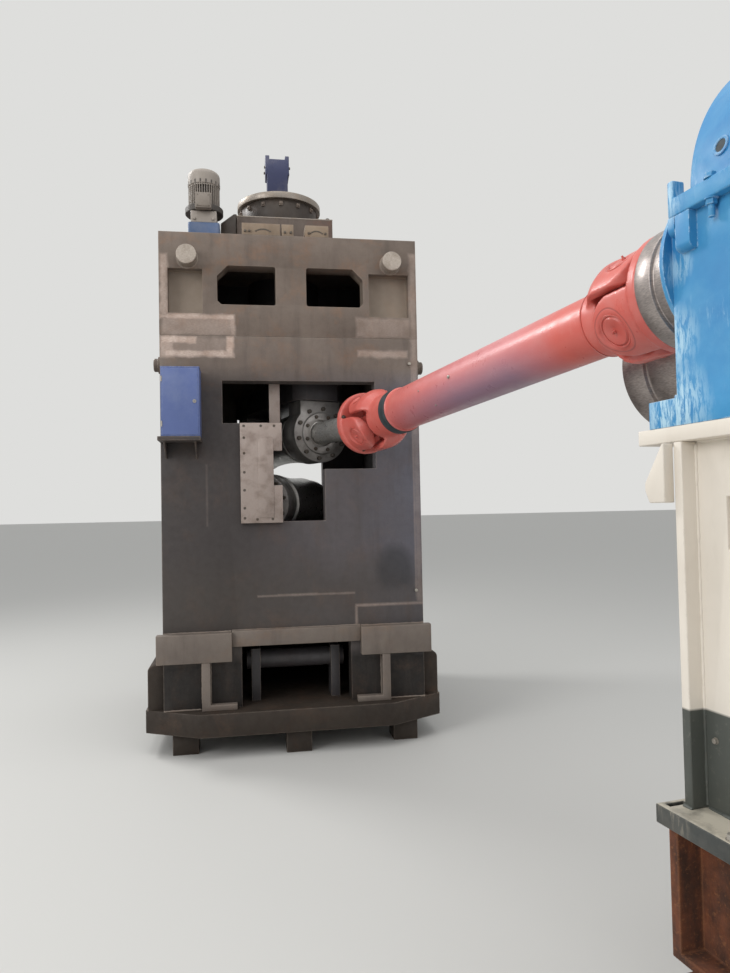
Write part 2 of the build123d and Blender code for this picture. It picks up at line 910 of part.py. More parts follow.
def pedestal_body():
    """The welded pedestal: two wider end plates and a core with a panel opening on each side."""
    end = -pedestal_end
    far = end - pedestal_length
    low = pedestal_base_top
    high = pedestal_plate_low
    body = block(-pedestal_left + pedestal_recess, pedestal_right - pedestal_recess,
                 far + pedestal_end_plate, end - pedestal_end_plate, low, high)
    for edge, inside in ((end, -1), (far, 1)):
        body += block(-pedestal_left, pedestal_right, edge, edge + inside * pedestal_end_plate, low, high)
    hole_start = end - pedestal_hole_from + pedestal_end_plate
    hole_high = high - pedestal_hole_drop
    hole = block(-pedestal_left, -pedestal_left + 2 * pedestal_recess,
                 hole_start - pedestal_hole_length, hole_start, hole_high - pedestal_hole_height, hole_high)
    body -= hole
    return drive_frame() * body


def pedestal_top_plate():
    """The plate under the gearbox's feet."""
    far = -pedestal_end - pedestal_length
    plate = block(-pedestal_left, pedestal_right, far - pedestal_plate_back, -pedestal_plate_reach,
                  pedestal_plate_low, case_foot_low)
    return drive_frame() * plate


def pedestal_base():
    """The foot flange of the pedestal."""
    end = -pedestal_end + pedestal_base_reach
    far = -pedestal_end - pedestal_length - pedestal_base_reach
    flange = block(-pedestal_left - pedestal_base_side, pedestal_right + pedestal_base_side, far, end,
                   beam_top, pedestal_base_top)
    slot = Pos(-pedestal_left - pedestal_slot_side, end - pedestal_slot_inset, (beam_top + pedestal_base_top) / 2)
    return drive_frame() * (flange - slot * Box(pedestal_slot_length, pedestal_slot_width, pedestal_base_thick))


def lifting_ears():
    """The hook-shaped lifting ears at the pedestal's end."""
    ears = []
    start = -pedestal_end
    nose = start + hook_reach
    low = hook_top - hook_height
    outline = [
        (start, hook_top), (start + hook_root, hook_top), (nose, low + hook_nose_high),
        (nose, low + hook_nose_low), (nose - hook_nose_cut, low), (start, low),
    ]
    notch_y = start + hook_notch_radius + hook_notch_inset
    for x in (-pedestal_left, pedestal_right - hook_thick):
        face = make_face(Plane.YZ * Polyline(*outline, close=True))
        ear = Pos(x, 0, 0) * extrude(face, hook_thick)
        ear -= Pos(x + hook_thick / 2, notch_y, low) * Rot(0, 90, 0) * Cylinder(hook_notch_radius, hook_thick)
        ears.append(drive_frame() * ear)
    return ears


def h_beam(length, height):
    """An H-section beam along local Y, standing on local Z = 0."""
    beam = Pos(0, 0, beam_flange / 2) * Box(beam_width, length, beam_flange)
    beam += Pos(0, 0, height - beam_flange / 2) * Box(beam_width, length, beam_flange)
    beam += Pos(0, 0, height / 2) * Box(beam_web, length, height)
    return beam


def floor_beams():
    """The two floor beams across the pedestal."""
    beams = []
    width = pedestal_left + pedestal_right
    middle = (pedestal_right - pedestal_left) / 2
    near = -pedestal_end - floor_beam_inset
    far = -pedestal_end - pedestal_length + floor_beam_inset
    for place in (near, far):
        beam = h_beam(width + 2 * pedestal_base_side, beam_low_height)
        beams.append(drive_frame() * Pos(middle, place, 0) * Rot(0, 0, 90) * beam)
    return beams


def upper_beams():
    """The beams under the pedestal's foot flange, their ends closed by plates."""
    beams = []
    length = pedestal_length + 2 * beam_overhang
    height = beam_top - beam_low_height
    inset = beam_width / 2 - beam_inset
    for x in (-pedestal_left + inset, pedestal_right - inset):
        beam = h_beam(length, height)
        for end in (-1, 1):
            beam += Pos(0, end * (length - beam_end_plate) / 2, height / 2) * Box(beam_width, beam_end_plate, height)
        beams.append(drive_frame() * Pos(x, -pedestal_end - pedestal_length / 2, beam_low_height) * beam)
    return beams


# Screw-down gear on the head

def gear_base():
    """The square base of the worm wheel's case."""
    return block(-gear_box_half, gear_box_half, -gear_box_front, gear_box_front, frame_top, gear_box_top)


def wheel_case():
    """The round worm wheel case."""
    middle = gear_box_top + wheel_case_height / 2
    return Pos(wheel_x, 0, middle) * Cylinder(wheel_case_radius, wheel_case_height)


def wheel_flange():
    """The machined top flange of the wheel case."""
    disc = Cylinder(wheel_flange_radius, wheel_flange_thick)
    disc = chamfer(disc.edges().group_by(Axis.Z)[-1], 6)
    return Pos(wheel_x, 0, wheel_case_top + wheel_flange_thick / 2) * disc


def seat_blocks():
    """The bearing blocks at the front edge of the head."""
    blocks = []
    for left, right in seat_blocks_x:
        front = seat_block_inset - half_depth
        blocks.append(block(left, right, front, front + seat_block_depth, frame_top, frame_top + seat_block_height))
    return blocks


def balance_cylinder():
    """The balance cylinder's bracket on the wheel case: a box between two cheeks."""
    low = wheel_case_top + wheel_flange_thick
    balance_high = low + balance_height
    half = balance_width / 2
    depth = balance_depth / 2
    body = block(-half, half, -depth, depth, low, balance_high - balance_ear_rise)
    for side in (-1, 1):
        cheek = block(side * (half - balance_ear_width + balance_ear_proud), side * (half + balance_ear_proud),
                      -depth, depth, balance_high - balance_ear_drop, balance_high)
        body += cheek
    return Pos(balance_x, 0, 0) * body


def worm_case():
    """The worm's case between the reducer and the wheel, its top sloped down to the reducer."""
    x0 = motor_x + reducer_width / 2
    x1 = -gear_box_half
    high = frame_top + worm_case_height
    outline = [
        (x0, frame_top), (x1, frame_top), (x1, high), (x1 - worm_case_flat, high),
        (x0, frame_top + worm_case_low_height),
    ]
    return upright_plate(outline, worm_case_width, -gear_box_front + worm_case_set_back)


def reducer():
    """The worm reducer under the motor."""
    half = reducer_width / 2
    depth = reducer_depth / 2
    case = block(motor_x - half, motor_x + half, motor_y - depth, motor_y + depth, frame_top, reducer_top)
    return fillet(case.edges().filter_by(Axis.Z), reducer_round)


def motor():
    """The upright motor: adapter, flange with a flat front, and finned body."""
    adapter = Pos(0, 0, reducer_top + adapter_height / 2) * Box(adapter_width, adapter_depth, adapter_height)
    flange_low = reducer_top + adapter_height
    flange = Pos(0, 0, flange_low + motor_flange_thick / 2) * Cylinder(motor_flange_radius, motor_flange_thick)
    flange -= block(-motor_flange_radius, motor_flange_radius, -motor_flange_radius, -motor_flange_flat,
                    flange_low, flange_low + motor_flange_thick)
    middle = motor_body_low + motor_body_height / 2
    body = Pos(0, 0, middle) * Cylinder(motor_body_radius, motor_body_height)
    fin_depth = motor_fin_radius - motor_body_radius + 10
    for index in range(motor_fin_count):
        angle = 360 / motor_fin_count * (index + 0.5)
        body += Rot(0, 0, angle) * Pos(motor_fin_radius - fin_depth / 2, 0, middle) * Box(
            fin_depth, motor_fin_thick, motor_body_height)
    return Pos(motor_x, motor_y, 0) * (adapter + flange + body)


def fan_cover():
    """The fan cover on top of the motor."""
    middle = motor_body_top + fan_cover_height / 2
    cover = Pos(motor_x, motor_y, middle) * Cylinder(fan_cover_radius, fan_cover_height)
    return fillet(cover.edges().group_by(Axis.Z)[-1], fan_cover_round)


def terminal_box():
    """The square terminal box on the front of the motor."""
    half = terminal_width / 2
    back = motor_y - motor_flange_flat
    low = motor_body_low - terminal_under_body
    box = block(motor_x - half, motor_x + half, motor_y - terminal_reach, back, low, low + terminal_height)
    return fillet(box.edges().filter_by(Axis.Y), 10)


# Fittings on the front

def electrical_box():
    """The electrical box."""
    front = -half_depth - box_depth
    left = box_edge - half_width
    box = block(left, left + box_width, front, -half_depth, box_low, box_low + box_height)
    return fillet(box.edges().filter_by(Axis.Y), box_round)


def box_shelf():
    """The shelf under the box with its bracket."""
    front = -half_depth - box_depth - shelf_lip
    left = box_edge - half_width
    right = left + box_width
    shelf = block(left - shelf_proud, right + shelf_lip, front, -half_depth, box_low - shelf_thick, box_low)
    low = box_low - shelf_thick - bracket_height
    for x in (left + bracket_inset, right - bracket_inset - bracket_thick):
        outline = [
            (front + bracket_set_back, box_low - shelf_thick), (-half_depth, box_low - shelf_thick),
            (-half_depth, low),
        ]
        face = make_face(Plane.YZ * Polyline(*outline, close=True))
        shelf += Pos(x, 0, 0) * extrude(face, bracket_thick)
    return shelf


def adjusting_shaft():
    """The lower adjusting shaft behind the lower window, in two brackets on the slab."""
    y = -half_depth + adjust_behind
    z = slab_top + adjust_height
    wide = adjust_bracket_half
    shaft = Pos(0, y, z) * Rot(0, 90, 0) * Cylinder(adjust_radius, 2 * adjust_half)
    for side in (-1, 1):
        x = side * (adjust_half - adjust_bracket)
        inner = x - adjust_bracket_thick / 2
        outer = x + adjust_bracket_thick / 2
        shaft += block(inner, outer, y - wide, y + wide, slab_top, z + wide)
    return shaft


def save(name, shapes):
    """Write one sub-part; several loose solids go into one compound."""
    if isinstance(shapes, (list, tuple)):
        shapes = Compound(children=[Solid(s.solid().wrapped) for s in shapes])
    export_step(shapes, os.path.join("parts", name + ".step"))


def main():
    os.makedirs("parts", exist_ok=True)
    upper_place = roll_frame(roll_skew, upper_roll_height)
    lower_place = roll_frame(-roll_skew, lower_roll_height)
    front_plate = lower_plate(opening_outline()) - lower_window()
    rear_plate = half_turn(lower_plate(rear_opening_outline()))
    head_front = head_plate()

    save("base_slab", base_slab())
    save("base_feet", base_feet())
    save("side_wings", side_wings())
    save("front_plate", front_plate)
    save("rear_plate", rear_plate)
    save("side_walls", [side_wall(-1), side_wall(1)])
    save("lower_deck", lower_deck())
    save("ledge_bars", [ledge(), half_turn(ledge())])
    save("corner_blocks", corner_blocks() + [half_turn(b) for b in corner_blocks()])
    save("foot_ribs", foot_ribs() + [half_turn(r) for r in foot_ribs()])
    save("head_front_plate", head_front)
    save("head_rear_plate", half_turn(head_front))
    save("head_floor", head_floor())
    save("head_deck", head_deck())
    save("nut_housing", nut_housing())
    save("lifting_trunnions", lifting_trunnions())
    save("side_stubs", side_stubs())
    save("guide_plate", [guide_plate(), guide_bar()])

    save("upper_roll", upper_roll())
    save("lower_roll", lower_roll())
    save("upper_chucks", [upper_place * chuck(1, 1), upper_place * chuck(1, -1)])
    save("lower_chucks", [lower_place * chuck(-1, 1), lower_place * chuck(-1, -1)])
    save("upper_saddle", upper_saddle())
    save("lower_saddle", lower_saddle())

    save("roll_yoke", roll_yoke())
    save("cardan_shaft", cardan_shaft())
    save("seal_band", seal_band())
    save("joint_crosses", joint_crosses())
    save("gearbox_yoke", gearbox_yoke())
    save("output_hub", output_hub())
    save("second_hub", second_hub())

    save("gearbox_case", gearbox_case())
    save("split_flange", split_flange())
    save("gearbox_cover", gearbox_cover())
    save("pedestal_body", pedestal_body())
    save("pedestal_top_plate", pedestal_top_plate())
    save("pedestal_base", pedestal_base())
    save("lifting_ears", lifting_ears())
    save("floor_beams", floor_beams())
    save("upper_beams", upper_beams())

    save("gear_base", gear_base())
    save("wheel_case", wheel_case())
    save("wheel_flange", wheel_flange())
    save("seat_blocks", seat_blocks())
    save("balance_cylinder", balance_cylinder())
    save("worm_case", worm_case())
    save("screwdown_reducer", reducer())
    save("screwdown_motor", motor())
    save("motor_fan_cover", fan_cover())
    save("motor_terminal_box", terminal_box())

    save("electrical_box", electrical_box())
    save("box_shelf", box_shelf())
    save("adjusting_shaft", adjusting_shaft())


main()
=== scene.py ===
import bmesh
import bpy
import math
import random
from mathutils import Matrix, Vector


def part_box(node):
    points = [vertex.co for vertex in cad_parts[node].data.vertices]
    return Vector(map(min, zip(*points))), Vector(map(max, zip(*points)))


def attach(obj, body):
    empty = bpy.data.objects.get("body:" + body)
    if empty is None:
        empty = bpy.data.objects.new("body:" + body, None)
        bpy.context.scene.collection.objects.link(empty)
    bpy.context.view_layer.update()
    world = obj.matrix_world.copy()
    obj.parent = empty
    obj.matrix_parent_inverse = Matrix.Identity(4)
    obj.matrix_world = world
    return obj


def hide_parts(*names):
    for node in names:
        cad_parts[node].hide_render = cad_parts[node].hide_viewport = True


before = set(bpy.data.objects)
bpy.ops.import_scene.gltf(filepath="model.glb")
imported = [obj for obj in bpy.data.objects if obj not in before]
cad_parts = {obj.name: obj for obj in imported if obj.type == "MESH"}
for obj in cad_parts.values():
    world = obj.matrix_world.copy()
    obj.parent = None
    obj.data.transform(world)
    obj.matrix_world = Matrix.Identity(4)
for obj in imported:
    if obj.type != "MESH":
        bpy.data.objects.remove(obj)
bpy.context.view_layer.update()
scene = bpy.context.scene
chance = random.Random(7)

# The stand's front face and other main places, in metres, read from the frame where a node has them
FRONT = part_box("front_plate")[0][1]
STAND_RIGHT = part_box("front_plate")[1][0]
SEAM_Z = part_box("front_plate")[1][2]
STAND_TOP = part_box("head_front_plate")[1][2]
BAR_X = 0.782
BAR_Z = 3.730
BAR_END = 1.1995

# The camera, from the picture's horizon and the stand's own corners
CAMERA_PLACE = Vector((-0.382, -6.72, 1.81))
CAMERA_YAW = math.radians(9.4018)
CAMERA_PITCH = math.radians(1.6996)
CAMERA_ROLL = math.radians(1.1538)
CAMERA_LENS = 27.05

# The running directions and heights of the turning shafts
ROLL_SKEW = math.radians(20)
DRIVE_TURN = math.radians(8)
UPPER_ROLL_Z = 2.436
LOWER_ROLL_Z = 1.866
JOINT_REACH = 1.660
JOINT_PHASE = math.radians(35)
DRIVE_JOINT = Vector((1.187, -4.120, 2.580))
SECOND_HUB_V = 0.530
SECOND_HUB_Z = 2.435
YOKE_BACK = 0.145
CAP_REACH = 0.1965
TUBE_RADIUS = 0.135


# Mesh helpers

def new_piece(name, work, coating, body="stand", sharp=35):
    """Turns a bmesh into a coated piece that rides on a body."""
    bmesh.ops.recalc_face_normals(work, faces=work.faces)
    mesh = bpy.data.meshes.new(name)
    for face in work.faces:
        face.smooth = True
    work.to_mesh(mesh)
    work.free()
    mesh.set_sharp_from_angle(angle=math.radians(sharp))
    mesh.materials.append(coating)
    made = bpy.data.objects.new(name, mesh)
    scene.collection.objects.link(made)
    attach(made, body)
    return made


def merged_copy(node):
    """A bmesh copy of a node with its triangles joined to whole faces."""
    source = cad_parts[node]
    work = bmesh.new()
    work.from_mesh(source.data)
    work.transform(source.matrix_world)
    bmesh.ops.remove_doubles(work, verts=work.verts, dist=1e-5)
    bmesh.ops.dissolve_limit(work, angle_limit=math.radians(0.6), verts=work.verts, edges=work.edges)
    return work


def soften(work, edges, width, segments=2):
    """Rounds some edges by a width."""
    return bmesh.ops.bevel(work, geom=edges, offset=width, affect="EDGES", segments=segments, profile=0.5,
                           material=-1, clamp_overlap=True)


def dressed(node, coating, slot, edge, body="stand", segments=2):
    """A copy of a node with its sharp edges broken, which stands for the node."""
    work = merged_copy(node)
    sharp = [line for line in work.edges
             if len(line.link_faces) == 2 and line.calc_face_angle(0) > math.radians(30)]
    soften(work, sharp, edge, segments)
    made = new_piece(node + "_finished", work, coating, body)
    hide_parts(node)


def dress_all(*rows):
    """Dresses many nodes: rows of their names and what else dressed takes."""
    for nodes, *rest in rows:
        for node in nodes.split():
            dressed(node, *rest)


def forged(node, coating, body):
    """A copy of a node with the soft corners of a forging, which stands for the node."""
    work = merged_copy(node)
    made = new_piece(node + "_finished", work, coating, body, sharp=180)
    remesh = made.modifiers.new("Skin", "REMESH")
    remesh.mode = "VOXEL"
    remesh.voxel_size = 0.007
    remesh.use_smooth_shade = True
    smooth = made.modifiers.new("Soften", "SMOOTH")
    smooth.iterations = 5
    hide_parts(node)


def raised(place, height):
    """A place moved along its own Z."""
    return place @ Matrix.Translation((0, 0, height))


def turned(place, angle, axis="Z"):
    """A place turned about one of its own axes."""
    return place @ Matrix.Rotation(angle, 4, axis)


def facing(point, direction, turn=0.0):
    """A place at a point whose Z runs along a direction."""
    along = Vector(direction).normalized()
    return turned(Matrix.Translation(point) @ along.to_track_quat("Z", "Y").to_matrix().to_4x4(), turn)


def add_box(work, low, high, edge=0.0, segments=2, place=None):
    """Adds a box between two corners, with broken edges if edge is given."""
    made = bmesh.ops.create_cube(work, size=1.0)["verts"]
    bmesh.ops.scale(work, vec=[b - a for a, b in zip(low, high)], verts=made)
    bmesh.ops.translate(work, vec=[(a + b) / 2 for a, b in zip(low, high)], verts=made)
    if place is not None:
        bmesh.ops.transform(work, matrix=place, verts=made)
    if edge:
        soften(work, list({line for vert in made for line in vert.link_edges}), edge, segments)


def add_drum(work, place, radius, height, sides=24, edge=0.0):
    """Adds a round or many-sided drum that stands on the place's XY plane."""
    made = bmesh.ops.create_cone(work, cap_ends=True, segments=sides, radius1=radius, radius2=radius,
                                 depth=height)["verts"]
    bmesh.ops.translate(work, vec=(0, 0, height / 2), verts=made)
    if edge:
        rim = [line for line in {e for v in made for e in v.link_edges}
               if all(abs(v.co.z - height) < 1e-6 for v in line.verts)]
        rounded = soften(work, rim, edge)["verts"]
        made = list(set(v for v in made if v.is_valid) | set(rounded))
    bmesh.ops.transform(work, matrix=place, verts=made)


def add_hex_bolt(work, point, direction, across=0.030, washer=True):
    """Adds a hexagon head bolt on its washer."""
    place = facing(point, direction, chance.uniform(0, math.pi / 3))
    if washer:
        add_drum(work, place, across * 0.68, across * 0.1, sides=20)
        place = raised(place, across * 0.1)
    add_drum(work, place, across / 1.732, across * 0.5, sides=6, edge=across * 0.05)
    add_drum(work, raised(place, across * 0.5), across * 0.36, across * 0.04, sides=16)


def add_nut(work, point, direction, across=0.030):
    """Adds a nut with its stud end and washer."""
    place = facing(point, direction, chance.uniform(0, math.pi / 3))
    add_drum(work, place, across * 0.72, across * 0.1, sides=20)
    add_drum(work, raised(place, across * 0.1), across / 1.732, across * 0.55, sides=6, edge=across * 0.05)
    add_drum(work, place, across * 0.32, across * 0.95, sides=14, edge=across * 0.04)


def add_socket_screw(work, point, direction, radius=0.011):
    """Adds a round screw head with its key socket sunk in the top."""
    place = facing(point, direction)
    height = radius * 1.3
    add_drum(work, place, radius, height, sides=18, edge=radius * 0.12)
    add_drum(work, raised(place, height * 0.5), radius * 0.55, height * 0.5 + 0.0004, sides=6)


def joined(work, part):
    """Adds a finished bmesh to another and frees it."""
    mesh = bpy.data.meshes.new("part")
    part.to_mesh(mesh)
    part.free()
    work.from_mesh(mesh)
    bpy.data.meshes.remove(mesh)


def add_bead(work, start, end, radius=0.006, step=0.014, wobble=0.25):
    """Adds a weld bead, a rippled round seam from one point to another."""
    start, end = Vector(start), Vector(end)
    count = max(2, int((end - start).length / step))
    part = bmesh.new()
    bmesh.ops.create_cone(part, cap_ends=True, segments=8, radius1=radius, radius2=radius,
                          depth=(end - start).length)
    along = [line for line in part.edges if abs(line.verts[0].co.z - line.verts[1].co.z) > 1e-6]
    bmesh.ops.subdivide_edges(part, edges=along, cuts=count - 1, use_grid_fill=True)
    rings = {}
    for vert in part.verts:
        rings.setdefault(round(vert.co.z / step * 4), []).append(vert)
    for verts in rings.values():
        grown = 1 + wobble * chance.uniform(-1, 1)
        bmesh.ops.scale(part, vec=(grown, grown, 1), verts=verts)
    bmesh.ops.transform(part, matrix=facing((start + end) / 2, end - start), verts=part.verts)
    joined(work, part)


def add_turned(work, outline, place, steps=48, closed=False):
    """Adds a solid of revolution about the place's Z from (radius, height) points."""
    part = bmesh.new()
    verts = [part.verts.new((radius, 0, height)) for radius, height in outline]
    edges = [part.edges.new(pair) for pair in zip(verts, verts[1:])]
    if closed:
        edges.append(part.edges.new((verts[-1], verts[0])))
    bmesh.ops.spin(part, geom=verts + edges, cent=(0, 0, 0), axis=(0, 0, 1), angle=math.tau, steps=steps,
                   use_merge=True)
    bmesh.ops.remove_doubles(part, verts=part.verts, dist=1e-6)
    bmesh.ops.transform(part, matrix=place, verts=part.verts)
    joined(work, part)


def add_ring(work, place, inner, outer, height, edge=0.002):
    """Adds a flat ring with broken edges."""
    outline = [(inner, 0), (outer, 0), (outer, height - edge), (outer - edge, height),
               (inner + edge, height), (inner, height - edge)]
    add_turned(work, outline, place, closed=True)


def spokes(place, count, start=0.0):
    """A place turned evenly round its own Z, from an angle onwards."""
    return [turned(place, start + math.tau * index / count) for index in range(count)]


def circle_spots(place, radius, count, start=0.0):
    """Points evenly round a circle in the place's XY plane, each with the direction of its Z."""
    out = place.to_3x3() @ Vector((0, 0, 1))
    return [(spoke @ Vector((radius, 0, 0)), out) for spoke in spokes(place, count, start)]


def bar_places(reach):
    """Places on the four lifting bars, as far out from the stand's middle as reach."""
    return [facing((side * BAR_X, face * reach, BAR_Z), (0, face, 0)) for side in (-1, 1) for face in (-1, 1)]


def roll_place(skew, height, along=0.0):
    """A place on a roll's axis: Z runs along it to the front, Y is up."""
    middle = Matrix.Translation((0, 0, height))
    return raised(turned(turned(middle, skew), math.pi / 2, "X"), along)


def shaft_place(from_machine, along, turn=0.0):
    """A place on the joint shaft, measured from either joint towards the other; X is level."""
    machine = roll_place(ROLL_SKEW, UPPER_ROLL_Z, JOINT_REACH).translation
    start, end = (machine, DRIVE_JOINT) if from_machine else (DRIVE_JOINT, machine)
    return raised(facing(start, end - start, turn), along)


def shaft_side(along, degrees):
    """A place on the middle line of the joint shaft whose Z points out to one side."""
    return turned(shaft_place(True, along, math.radians(degrees)), math.pi / 2, "Y")


def drive_place(height=0.0):
    """A place under or in the gearbox's joint: X (v) to its right, Y (u) towards the machine, Z up."""
    return turned(Matrix.Translation((DRIVE_JOINT.x, DRIVE_JOINT.y, height)), DRIVE_TURN)


# Material helpers

def colour(code):
    """An sRGB hex colour as the linear colour that shaders take."""
    parts = [int(code[i:i + 2], 16) / 255 for i in (1, 3, 5)]
    linear = [p / 12.92 if p <= 0.04045 else ((p + 0.055) / 1.055) ** 2.4 for p in parts]
    return (*linear, 1.0)


def add(tree, kind, inputs=None, out=0, **settings):
    """Adds a shader node with its settings, sets or links its inputs, and gives one of its outputs."""
    made = tree.nodes.new(kind)
    for name, value in settings.items():
        setattr(made, name, value)
    for name, value in (inputs or {}).items():
        if isinstance(value, bpy.types.NodeSocket):
            tree.links.new(value, made.inputs[name])
        else:
            made.inputs[name].default_value = colour(value) if isinstance(value, str) else value
    return made.outputs[out] if made.outputs else None


def share(tree, *masks):
    """The product of masks: values, or rows (value, low, high, out low, out high) held at their ends."""
    product = None
    for mask in masks:
        if isinstance(mask, tuple):
            names = ("Value", "From Min", "From Max", "To Min", "To Max")
            mask = add(tree, "ShaderNodeMapRange", dict(zip(names, mask)))
        if product is not None:
            mask = add(tree, "ShaderNodeMath", {0: product, 1: mask}, operation="MULTIPLY")
        product = mask
    return product


def stack(tree, tone, *layers):
    """Colours laid over one another, each (colour, mask, mask, ...) where its masks let it."""
    for over, *masks in layers:
        inputs = {0: share(tree, *masks), 6: tone, 7: over}
        tone = add(tree, "ShaderNodeMix", inputs, 2, data_type="RGBA")
    return tone


def greatest(tree, *values):
    """The greatest of several values at a place."""
    best = 0.0
    for value in values:
        best = add(tree, "ShaderNodeMath", {0: best, 1: value}, operation="MAXIMUM")
    return best


def beyond(tree, value, middle, half):
    """How far a value lies past either end of a span; below nought inside it."""
    away = add(tree, "ShaderNodeMath", {0: value, 1: middle}, operation="SUBTRACT")
    away = add(tree, "ShaderNodeMath", {0: away}, operation="ABSOLUTE")
    return add(tree, "ShaderNodeMath", {0: away, 1: half}, operation="SUBTRACT")


def swayed(tree, value, pattern, reach):
    """A value moved to and fro by a pattern, half the reach each way."""
    sway = add(tree, "ShaderNodeMath", {0: pattern, 1: 0.5}, operation="SUBTRACT")
    return add(tree, "ShaderNodeMath", {0: sway, 1: reach, 2: value}, operation="MULTIPLY_ADD")


def spot_place(tree, stretch=(1, 1, 1)):
    """The point on the piece in its own metres, stretched along its axes."""
    place = add(tree, "ShaderNodeTexCoord", out="Object")
    return add(tree, "ShaderNodeMapping", {"Vector": place, "Scale": stretch})


def measure(tree, axis):
    """The point's own X, Y or Z in metres."""
    return add(tree, "ShaderNodeSeparateXYZ", {0: spot_place(tree)}, axis)


def upward(tree):
    """How far the surface looks up: one on top, nought on a wall, minus one below."""
    return add(tree, "ShaderNodeSeparateXYZ", {0: add(tree, "ShaderNodeNewGeometry", out="Normal")}, "Z")


def grain(tree, millimetres, detail=4.0, rough=0.55, stretch=(1, 1, 1), warp=0.0):
    """A cloudy pattern whose patches are about so many millimetres across."""
    return add(tree, "ShaderNodeTexNoise", {
        "Vector": spot_place(tree, stretch), "Scale": 1000 / millimetres, "Detail": detail,
        "Roughness": rough, "Distortion": warp})


def worn_edges(tree, radius):
    """One along the outer edges of the piece and nought on its faces."""
    rounded = add(tree, "ShaderNodeBevel", {"Radius": radius}, samples=4)
    flat = add(tree, "ShaderNodeNewGeometry", out="Normal")
    along = add(tree, "ShaderNodeVectorMath", {0: rounded, 1: flat}, "Value", operation="DOT_PRODUCT")
    return share(tree, (along, 0.985, 0.90))


def near_spots(tree, spots):
    """How near the surface is to some spots: full strength at a spot, nought past its reach."""
    place = spot_place(tree)
    near = []
    for x, y, z, reach, strength in spots:
        away = add(tree, "ShaderNodeVectorMath", {0: place, 1: (x, y, z)}, "Value", operation="DISTANCE")
        near.append(share(tree, (away, reach, reach * 0.35, 0.0, strength)))
    return greatest(tree, *near)


def turned_groove(tree, middle, axis, radius):
    """One in a fine groove turned about an axis, and nought beside it."""
    arm = add(tree, "ShaderNodeVectorMath", {0: spot_place(tree), 1: middle}, operation="SUBTRACT")
    arm = add(tree, "ShaderNodeVectorMath", {0: arm, 1: axis}, operation="CROSS_PRODUCT")
    reach = add(tree, "ShaderNodeVectorMath", {0: arm}, "Value", operation="LENGTH")
    return share(tree, (beyond(tree, reach, radius, 0.0), 0.004, 0.002))


def material(name):
    """An empty node material and its tree."""
    made = bpy.data.materials.new(name)
    made.use_nodes = True
    made.node_tree.nodes.clear()
    return made, made.node_tree


def coat(made, tone, metallic, roughness, height=None, depth=0.0, strength=0.5):
    """Closes a material with its colour and its sheen, and a relief of so many metres."""
    tree = made.node_tree
    inputs = {"Base Color": tone, "Metallic": metallic, "Roughness": share(tree, roughness)}
    if height is not None:
        inputs["Normal"] = add(tree, "ShaderNodeBump", {
            "Height": height, "Distance": depth, "Strength": strength})
    shader = add(tree, "ShaderNodeBsdfPrincipled", inputs)
    add(tree, "ShaderNodeOutputMaterial", {"Surface": shader})
    return made


# Materials. Mill scale, tool marks and orange peel are finer than a pixel of the picture, so they are drawn
# some millimetres wide, as coarse as they need to show.

# Ground places on the front: middle x and z, half sizes, how bare
GROUND_PLACES = (
    (-0.957, 3.520, 0.028, 0.240, 0.55),
    (-0.715, 3.284, 0.280, 0.020, 0.80),
    (-0.450, 3.220, 0.020, 0.078, 0.55),
    (-0.715, 3.215, 0.262, 0.070, 0.38),
    (-0.700, 3.004, 0.255, 0.024, 0.80),
    (-0.470, 3.066, 0.027, 0.072, 0.95),
    (-0.850, 3.105, 0.130, 0.026, 0.85),
    (-0.935, 3.030, 0.050, 0.060, 0.50),
    (-0.690, 3.066, 0.230, 0.060, 0.22),
    (0.720, 3.225, 0.215, 0.075, 0.30),
    (0.710, 3.020, 0.200, 0.026, 0.50),
    (0.962, 3.100, 0.026, 0.720, 0.30),
    (0.966, 1.850, 0.024, 0.780, 0.22),
    (0.940, 2.050, 0.003, 0.880, 0.45),
    (0.080, 1.158, 0.370, 0.004, 0.35),
    (0.010, 1.160, 0.150, 0.006, 0.35),
    (0.737, 1.060, 0.280, 0.008, 0.45),
    (0.462, 0.985, 0.008, 0.070, 0.45),
    (-0.658, 1.930, 0.003, 0.230, 0.14),
)


def ground_place(tree, ragged, x, z, half_x, half_z, bare):
    """How bare a ragged upright rectangle on the front is ground, and nought elsewhere."""
    thin = min(half_x, half_z) < 0.015
    soft = 0.009 if thin else 0.012
    across = beyond(tree, measure(tree, "X"), x, half_x)
    up = beyond(tree, measure(tree, "Z"), z, half_z)
    past = add(tree, "ShaderNodeMath", {0: across, 1: up}, operation="MAXIMUM")
    past = swayed(tree, past, ragged, 0.009 if thin else 0.045)
    face = (measure(tree, "Y"), FRONT + 0.03, FRONT + 0.02)
    return share(tree, (past, soft, -soft), face, bare)


def front_tones_and_painted_shade(tree, tone, side, height):
    """The front's broad tones, much of them painted light and shade: brown above; lower down darker, nearly
    black at the foot as a painted shadow, and violet grey with a painted sheen at the right.
    """
    face = (measure(tree, "Y"), FRONT + 0.10, FRONT + 0.05)
    # Lower front: darker at the left as painted shade under the box, lighter violet grey to the right as
    # painted light, a bluish painted sheen on the right of the face, darker below about 1.4 m, and nearly
    # black below 0.7 m as the painted shadow under the blocks
    low = stack(tree, "#423d3c",
                ("#575254", (side, -0.42, 0.36)),
                ("#5f5e67", (side, 0.45, 1.0), face),
                ("#4b4540", (height, 1.55, 1.20, 0.0, 0.6)),
                ("#231f1d", (height, 0.74, 0.66)))
    # Below about 2.8 m the front takes this lower tone, partly oily scale and partly painted shade
    return stack(tree, tone, (low, (height, 2.93, 2.72)))


